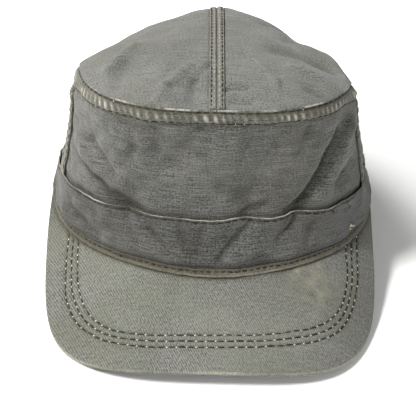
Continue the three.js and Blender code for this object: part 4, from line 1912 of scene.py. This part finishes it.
@dataclass
class Band(CapPart):
    """The band over the foot of the wall, and its hem."""

    columns: int = 680
    thickness: float = 0.8
    top_row: float = 1.5
    # Depths under the band's top edge, in mm, and places up the hem, where the cloth bends closely
    top_depths: tuple[float, ...] = (3.2, 2.6, 2.1, 1.8, 1.5, 1.2, 0.8, 0.4, 0.15, 0)
    hem_places: tuple[float, ...] = (0, 0.06, 0.14, 0.24, 0.36, 0.46, 0.54, 0.6, 0.66, 0.72, 0.8, 0.88, 0.95,
                                     1)

    def face(self, angle: Array, level: Array) -> Array:
        """Points of the band's outer face: it stands off at its top fold and rolls over its hem.

        Args:
            angle: places round the cap.
            level: places up the wall.

        Returns:
            Points in the cap's frame.
        """
        form, size = self.form, self.size
        run = self.room.arc(angle)
        down = (size.band_level - level) * size.crown_height
        lip = 0.3 * np.exp(-down) - 0.3 * dip(down - self.top_row, 0.5)
        gather = 0.2 * puckers(run, 5.0, 91) * dip(down - 4.0, 1.6)
        up = level * size.crown_height
        aside = ease(np.abs(wrap(angle)), 45, 70)
        roll = dip(up - 7.4, 3.0) * (0.75 + 0.75 * dip(angle - 6, 30) + 0.7 * aside)
        foot = -(0.3 + 0.4 * aside) * (1 - ease(up, 1.5, 4.5))
        return form.wall_point(angle, level, size.band_outer + lip + gather + roll + foot)

    def hem_face(self, angle: Array, up: Array) -> Array:
        """Points of the hem's outer face.

        Args:
            angle: places round the cap.
            up: 0 at the foot and 1 at the hem's upper edge.

        Returns:
            Points in the cap's frame.
        """
        form, size = self.form, self.size
        level = up * size.hem_height / form.rim_height(angle)
        swell = 0.5 * np.sin(math.pi * np.clip(up / 0.55, 0, 1)) - 0.7 * (1 - ease(up, 0, 0.2))
        row = 0.35 * dip((up - 0.7) * size.hem_height, 0.5)
        wave = 0.1 * waves(self.room.arc(angle), 0 * angle, 9, 92, 5)
        tuck = 0.9 * ease(np.abs(wrap(angle)), 22, 62)
        return form.wall_point(angle, level, size.foot_outer + swell - row + wave - tuck)

    def build(self) -> None:
        """Builds the band and its hem."""
        form, size = self.form, self.size
        ring = np.linspace(-180, 180, self.columns + 1)
        fine = size.band_level - np.array(self.top_depths) / size.crown_height
        levels = np.concatenate([np.linspace(0, fine[0], 28)[:-1], fine])
        band = Cloth("band_cloth", ring, levels, self.face, self.room.wall_cut, self.thickness,
                     {"rub": self.top_rub, "shade": self.face_shade}, edge=0.38)
        finish_piece(band.build(form), self.room.band, "wall_cotton", "band")
        hem = Cloth("band_hem_fold", ring, np.array(self.hem_places), self.hem_face,
                    lambda a, u: np.stack([self.room.arc(a), u * size.hem_height - 40], -1), size.thin_cloth,
                    {"rub": self.hem_rub, "shade": self.hem_shade})
        finish_piece(hem.build(form), self.room.hem, "hem_cotton", "band_hem")

    def hem_rub(self, angle: Array, up: Array) -> Array:
        """How rubbed the hem is: along its middle, most of all in front."""
        middle = dip((up - 0.33) * self.size.hem_height, 0.6)
        return 0.6 * middle * (0.35 + 0.65 * dip(angle - 10, 34))

    def hem_shade(self, angle: Array, up: Array) -> Array:
        """Painted shade on the hem: at its upper edge under the band, at its foot over the peak and toward the
        sides.
        """
        edges = 0.5 * ease(up, 0.45, 0.6) + 0.9 * (1 - ease(up, 0, 0.16))
        return edges + 0.6 * (1 - dip(angle - 10, 32))

    def face_shade(self, angle: Array, level: Array) -> Array:
        """Painted shade on the band: along its stitches, in its creases and over its hem.

        Args:
            angle: places round the cap.
            level: places up the wall.

        Returns:
            How dark the painted shade is, from 0 for none.
        """
        form, size = self.form, self.size
        down = (size.band_level - level) * size.crown_height
        over_hem = np.maximum(level * size.crown_height - size.hem_height, 0)
        # Painted shadow over the hem, where the band rolls out over it, deepest in front
        deep = 0.8 + 0.6 * dip(angle - 8, 24)
        hollow = form.hollow_shade(angle, level)
        # Painted shade on the left of the band
        left = 0.34 * dip(angle + 42, 26)
        # Painted shade along the row under the top fold
        return 0.6 * dip(down - 1.4, 0.7) + deep * np.exp(-over_hem / 1.3) + hollow + left

    def top_rub(self, angle: Array, level: Array) -> Array:
        """How rubbed the band's top fold is.

        Args:
            angle: places round the cap.
            level: places up the wall.

        Returns:
            How rubbed it is, up to 1.
        """
        size = self.size
        patch = 0.9 + 0.25 * waves(self.room.arc(angle), 0 * angle, 40, 93)
        patch = patch * (0.55 + 0.45 * dip(angle, 42))
        return 0.8 * dip(np.maximum((size.band_level - level) * size.crown_height, 0), 0.25) * patch

    def loose_rows(self, ends: Sequence[tuple[float, ...]], width: float) -> list[StitchRow]:
        """Single threads that lie loose on the band.

        Args:
            ends: the angle and level of both ends of each thread.
            width: their width, in mm.

        Returns:
            A row of one thread for each.
        """
        rows = []
        for number, (from_angle, from_level, to_angle, to_level) in enumerate(ends):
            angles, levels = np.linspace(from_angle, to_angle, 5), np.linspace(from_level, to_level, 5)
            run = float(np.linalg.norm(np.diff(self.face(angles, levels), axis=0), axis=1).sum())
            sizes = StitchSizes(length=run, pitch=run, width=width, height=0.45, sunk=0.0)
            rows.append(row_on(self.face, angles, levels, sizes, 150 + number))
        return rows

    def stitch_rows(self) -> list[StitchRow]:
        """The row under the band's top fold and the one on the hem.

        Returns:
            The rows.
        """
        size = self.size
        angles = np.linspace(-180, 180, 1000)
        level = size.band_level - self.top_row / size.crown_height
        on_fold = StitchSizes(length=3.6, pitch=4.1, width=1.05)
        on_hem = StitchSizes(length=2.5, pitch=3.6, width=0.85)
        return [row_on(self.face, angles, level + 0 * angles, on_fold, 100),
                row_on(self.hem_face, angles, 0.66 + 0 * angles, on_hem, 101)]


# Peak


@dataclass
class Peak(CapPart):
    """The peak's two cloth faces, with three rows of stitches near the edge."""

    columns: int = 250
    row_count: int = 3
    # Places round the cap, and how far the outermost and the innermost row lie from the edge there, in mm
    row_angles: tuple[float, ...] = (-76, -50, -43, -36, -30, -25, -20, -12, 0, 8, 13, 18, 23, 28, 33, 38, 44,
                                     50, 76)
    outer_margins: tuple[float, ...] = (11.4, 11.0, 9.8, 8.9, 10.6, 12.4, 13.0, 13.4, 14.0, 14.6, 15.3, 15.5,
                                        14.8, 12.6, 11.0, 9.8, 9.3, 9.8, 10.4)
    inner_margins: tuple[float, ...] = (16.6, 16.5, 16.1, 16.3, 17.5, 18.7, 19.1, 19.9, 20.7, 21.0, 21.9,
                                        22.8, 21.3, 18.8, 16.3, 15.2, 15.7, 16.0, 16.4)
    roll: float = 1.5
    cloth_depth: float = 74.0

    def margin(self, angle: Array, share: Array) -> Array:
        """Distance from the peak's outer edge, in mm, measured square to it.

        Args:
            angle: places round the cap.
            share: 0 at the wall and 1 at the peak's edge.

        Returns:
            The distance at each place.
        """
        form = self.form
        reach, inner = form.peak_reach(angle), form.wall_root(angle)
        rate = (form.peak_reach(angle + 0.5) - form.peak_reach(angle - 0.5)) / math.radians(1.0)
        return (1 - share) * (reach - inner) * reach / np.hypot(reach, rate)

    def row_margin(self, angle: Array, row: int) -> Array:
        """A stitch row's distance from the peak's edge, in mm. The outermost row is row 0."""
        outer = np.interp(angle, self.row_angles, self.outer_margins)
        inner = np.interp(angle, self.row_angles, self.inner_margins)
        return outer + (inner - outer) * (row / (self.row_count - 1)) + self.form.peak_spread(angle)

    def relief(self, angle: Array, share: Array) -> Array:
        """Small swelling of the peak's top face, with a trough along each row.

        Args:
            angle: places round the cap.
            share: 0 at the wall and 1 at the peak's edge.

        Returns:
            Heights in mm.
        """
        margin = self.margin(angle, share)
        point = self.form.peak_point(angle, share, 0.0)
        x, y = point[:, 0], point[:, 1]
        height = 0.2 * waves(x, y, 24, 111) + 0.05 * waves(x, y, 8, 112)
        for row in range(self.row_count):
            height = height - 0.4 * dip(margin - self.row_margin(angle, row), 0.8)
        gather = 0.07 * puckers(x + y, 4.4, 113) * dip(margin - self.row_margin(angle, 1), 5.0)
        return (height + gather) * ease(margin, 0.3, 2.0) * ease(1 - share, 0.0, 0.02)

    def edge_depth(self, margin: Array) -> Array:
        """How far the rolled edge has turned down, in mm."""
        inside = np.clip(self.roll - margin, 0, self.roll)
        return self.roll - np.sqrt(np.maximum(self.roll**2 - inside**2, 0))

    def top_face(self, angle: Array, share: Array) -> Array:
        """Points of the top cloth's outer face."""
        depth = self.size.gap + self.edge_depth(self.margin(angle, share)) - self.relief(angle, share)
        return self.form.peak_point(angle, share, depth)

    def under_face(self, angle: Array, share: Array) -> Array:
        """Points of the under cloth's outer face."""
        depth = self.size.peak_depth - self.edge_depth(self.margin(angle, share))
        return self.form.peak_point(angle, share, depth)

    def stain(self, angle: Array, share: Array) -> Array:
        """A pale yellowish stain on the peak's right half.

        Args:
            angle: places round the cap.
            share: 0 at the wall and 1 at the peak's edge.

        Returns:
            How stained it is, from 0 to 1.
        """
        point = self.form.peak_point(angle, share, 0.0)
        x, y = point[:, 0], point[:, 1]
        patch = np.exp(-(((x - 53) / 9) ** 2 + ((y + 98) / 15) ** 2)) * (0.5 + 0.5 * waves(x, y, 8, 114))
        streak = np.exp(-(((x - 44 - 0.5 * (y + 92)) / 3.0) ** 2 + ((y + 91) / 9) ** 2))
        return np.clip(0.45 * patch + 0.42 * streak * (0.6 + 0.5 * waves(x, y, 5, 116)), 0, 1)

    def shares(self) -> Array:
        """Places from the outer edge, 1, inward to the wall, 0, closer together at the rows and the edge.

        Returns:
            The places.
        """
        outer = np.array([0, 0.12, 0.3, 0.55, 0.85, 1.2, 1.7, 2.4, 3.4])
        middle = np.arange(4.6, 8.6, 1.0)
        rows = np.arange(9.2, 25.6, 0.55)
        rest = np.linspace(26.3, self.cloth_depth, 34)
        return 1 - np.concatenate([outer, middle, rows, rest]) / self.cloth_depth

    def build(self) -> None:
        """Builds the top cloth and the under cloth."""
        form, size = self.form, self.size
        angles = np.linspace(-size.peak_end_angle, size.peak_end_angle, self.columns + 1)
        # The top cloth's shade mask is painted shade: a painted shadow under the hem and painted shade along
        # the rows
        top = Cloth("peak_top_cloth", angles, self.shares(), self.top_face, self.cut, size.peak_cloth,
                    {"rub": self.edge_rub, "stain": self.stain,
                     "shade": lambda a, u: 0.55 * self.under_hem(a, u) + self.row_shade(a, u)})
        finish_piece(top.build(form), self.room.peak, "peak_cotton", "peak_top")
        inner = np.concatenate([np.linspace(0, 3.4, 8)[:-1], np.linspace(3.4, self.cloth_depth, 34)])
        under = Cloth("peak_under_cloth", angles, 1 - inner / self.cloth_depth, self.under_face, self.cut,
                      size.peak_cloth, {"rub": lambda a, u: 0.35 * dip(self.margin(a, u), 1.0)}, flip=True)
        finish_piece(under.build(form), self.room.peak, "peak_cotton", "peak_underside")

    def cut(self, angle: Array, share: Array) -> Array:
        """Flat places of the peak's cloth, in mm, its ribs spaced wider along the cap."""
        return self.form.peak_point(angle, share, 0.0)[:, :2] * (1.0, 0.65)

    def edge_rub(self, angle: Array, share: Array) -> Array:
        """How rubbed the peak's rolled edge is."""
        patch = 0.9 + 0.15 * waves(self.room.arc(angle), 0 * angle, 26, 115)
        return 0.62 * dip(self.margin(angle, share) - 0.3, 0.8) * patch

    def under_hem(self, angle: Array, share: Array) -> Array:
        """Painted shadow that the hem casts on the peak just in front of it."""
        ahead = (self.form.peak_reach(angle) - self.form.wall_root(angle)) * share
        return 1.6 * np.exp(-np.maximum(ahead - self.size.foot_outer, 0) / 0.8)

    def row_shade(self, angle: Array, share: Array) -> Array:
        """Painted shade along the stitch rows, a darker margin outside the outermost row, and painted shade
        toward both sides and on the left.

        Args:
            angle: places round the cap.
            share: 0 at the wall and 1 at the peak's edge.

        Returns:
            How dark it is, from 0 for none.
        """
        margin = self.margin(angle, share)
        rows = sum(0.5 * dip(margin - self.row_margin(angle, row), 0.9) for row in range(self.row_count))
        outside = 0.14 * (1 - ease(margin - self.row_margin(angle, 0), -2, 3))
        # Painted shade toward the sides, which turn from the lamps, and on the left
        return rows + outside + 0.25 * ease(np.abs(angle), 46, 66) + 0.17 * (1 - ease(angle, -34, -4))

    def stitch_rows(self) -> list[StitchRow]:
        """The three rows that follow the peak's edge, above and below.

        Returns:
            The rows.
        """
        form, size = self.form, self.size
        angles = np.linspace(-size.peak_end_angle + 0.5, size.peak_end_angle - 0.5, 500)
        ahead = form.peak_reach(angles) - form.wall_root(angles)
        per_share = self.margin(angles, np.zeros_like(angles))
        sizes = StitchSizes(length=3.9, pitch=4.8, width=1.0, height=0.45, sunk=0.15, fleck=1.0)
        rows = []
        for number in range(self.row_count):
            share = 1 - self.row_margin(angles, number) / per_share
            clear = share * ahead > size.foot_outer - 0.4
            above = row_on(self.top_face, angles[clear], share[clear], sizes, 120 + number, 0.8)
            above.normals = -above.normals
            rows += [above, row_on(self.under_face, angles[clear], share[clear], sizes, 130 + number)]
        return rows


# Studio


@dataclass
class Studio:
    """The pale floor, soft lights and the camera."""

    form: CapForm
    rise: float = 25.4
    roll: float = 1.78
    yaw: float = 0.814
    distance: float = 900.0
    scale: float = 1.863
    centre: tuple[float, float] = (213.312, 136.088)
    image: float = 416.0
    sensor: float = 36.0

    def add_camera(self) -> None:
        """Sets the camera at the photograph's angle to the cap."""
        rise, yaw, roll = (math.radians(value) for value in (self.rise, self.yaw, self.roll))
        focal = self.scale * self.distance
        target = np.array([0.0, -20.0, 40.0])
        place = target + self.distance * np.array([0, -math.cos(rise), math.sin(rise)])
        ahead = np.array([0, math.cos(rise), -math.sin(rise)])
        above = np.array([0, math.sin(rise), math.cos(rise)])
        right = np.array([1.0, 0, 0])

        def image_ray(u: float, v: float) -> Array:
            """Direction of the ray through a pixel, before the yaw.

            Args:
                u: places across the picture, in pixels.
                v: places down it.

            Returns:
                The direction, in the cap's frame.
            """
            dx, dy = u - self.centre[0], v - self.centre[1]
            px = dx * math.cos(roll) + dy * math.sin(roll)
            py = -dx * math.sin(roll) + dy * math.cos(roll)
            return ahead * focal + right * px - above * py

        middle = self.image / 2
        axis = image_ray(middle, middle)
        across = image_ray(middle + 1, middle) - axis
        axis /= np.linalg.norm(axis)
        across -= axis * (across @ axis)
        across /= np.linalg.norm(across)
        turned = np.array([[math.cos(yaw), math.sin(yaw), 0], [-math.sin(yaw), math.cos(yaw), 0], [0, 0, 1]])
        place, axis, across = turned @ place, turned @ axis, turned @ across
        spot = self.form.lay(place[None])[0]
        forward, side = self.form.turn(axis[None])[0], self.form.turn(across[None])[0]
        up = np.cross(side, forward)
        data = bpy.data.cameras.new("Camera")
        length = focal / np.linalg.norm([focal, self.centre[0] - middle, middle - self.centre[1]])
        data.sensor_width = self.sensor
        data.lens = focal / length / self.image * self.sensor
        data.clip_start, data.clip_end = 0.05, 20.0
        camera = bpy.data.objects.new("Camera", data)
        turn = Matrix([[side[i], up[i], -forward[i]] for i in range(3)]).to_4x4()
        camera.matrix_world = Matrix.Translation(Vector(spot)) @ turn
        bpy.context.scene.collection.objects.link(camera)
        bpy.context.scene.camera = camera

    @staticmethod
    def add_floor() -> None:
        """Lays the pale floor."""
        deselect_all()
        bpy.ops.mesh.primitive_plane_add(size=8.0, location=(0, 0, 0))
        floor = bpy.context.active_object
        floor.name = "floor"
        material = bpy.data.materials.new("Pale floor")
        material.use_nodes = True
        shader = material.node_tree.nodes["Principled BSDF"]
        shader.inputs["Base Color"].default_value = (0.86, 0.86, 0.85, 1)
        shader.inputs["Roughness"].default_value = 0.95
        shader.inputs["Specular IOR Level"].default_value = 0.1
        floor.data.materials.append(material)

    @staticmethod
    def add_light(name: str, place: Place, size: float, power: float, colour: Colour = (1, 1, 1)) -> None:
        """Hangs a soft square light that faces the cap.

        Args:
            name: its name.
            place: where it hangs, in metres.
            size: its side, in metres.
            power: its power, in watts.
            colour: its colour.
        """
        data = bpy.data.lights.new(name, "AREA")
        data.shape, data.size, data.energy, data.color = "SQUARE", size, power, colour
        light = bpy.data.objects.new(name, data)
        light.location = place
        light.rotation_mode = "QUATERNION"
        light.rotation_quaternion = (Vector((0, 0, 0.05)) - Vector(place)).to_track_quat("-Z", "Y")
        bpy.context.scene.collection.objects.link(light)

    def build(self) -> None:
        """Builds the whole studio."""
        self.add_camera()
        self.add_floor()
        self.add_light("Key", (-1.1, -0.6, 1.25), 0.4, 48.0, (1.0, 0.99, 0.97))
        self.add_light("Top", (-0.95, 0.6, 1.3), 0.7, 34.0)
        self.add_light("Fill", (1.3, -1.1, 0.5), 0.9, 21.0)
        world = bpy.data.worlds.new("Studio")
        world.use_nodes = True
        world.node_tree.nodes["Background"].inputs["Color"].default_value = (1.0, 1.0, 1.0, 1)
        world.node_tree.nodes["Background"].inputs["Strength"].default_value = 0.24
        bpy.context.scene.world = world
        bpy.context.scene.view_settings.view_transform = "Standard"


# The whole cap


def main() -> None:
    """Builds the cap and its studio, and reports each piece."""
    logging.basicConfig(level=logging.INFO, format="%(name)s %(message)s")
    form = CapForm()
    log.info("lay slope %.5f, shift %s", form.slope, np.round(form.shift, 5).tolist())
    Studio(form).build()
    groups = ClothGroups()
    cottons = (TOP_FINISH, WALL_FINISH, BAND_FINISH, SEAM_FINISH, HEM_FINISH, PEAK_FINISH)
    threads = (THREAD_FINISH, FLECK_FINISH)
    cloths, yarns = [finish.build(groups) for finish in cottons], [finish.build() for finish in threads]
    room = Workroom(form, *cloths, *yarns)
    crown_top, crown_wall, band, peak = CrownTop(room), CrownWall(room), Band(room), Peak(room)
    for part in (crown_top, crown_wall, band, peak):
        part.build()
    stitching = Stitching(form)
    sewn = (
        ("crown", crown_top.stitch_rows() + crown_wall.stitch_rows(), "seam_cotton"),
        ("band", band.stitch_rows() + band.loose_rows(LOOSE_THREADS, 0.7), "wall_cotton"),
        ("peak", peak.stitch_rows(), "peak_cotton"),
    )
    for name, rows, slot in sewn:
        finish_piece(stitching.sew(name + "_stitches", rows, False), room.thread, slot)
        if any(row.fleck_share for row in rows):
            finish_piece(stitching.sew(name + "_flecks", rows, True), room.fleck, slot)
    frayed = stitching.sew("frayed_threads", band.loose_rows(FRAYED_THREADS, 0.8), False)
    finish_piece(frayed, room.fleck, "wall_cotton")


if __name__ == "__main__":
    main()
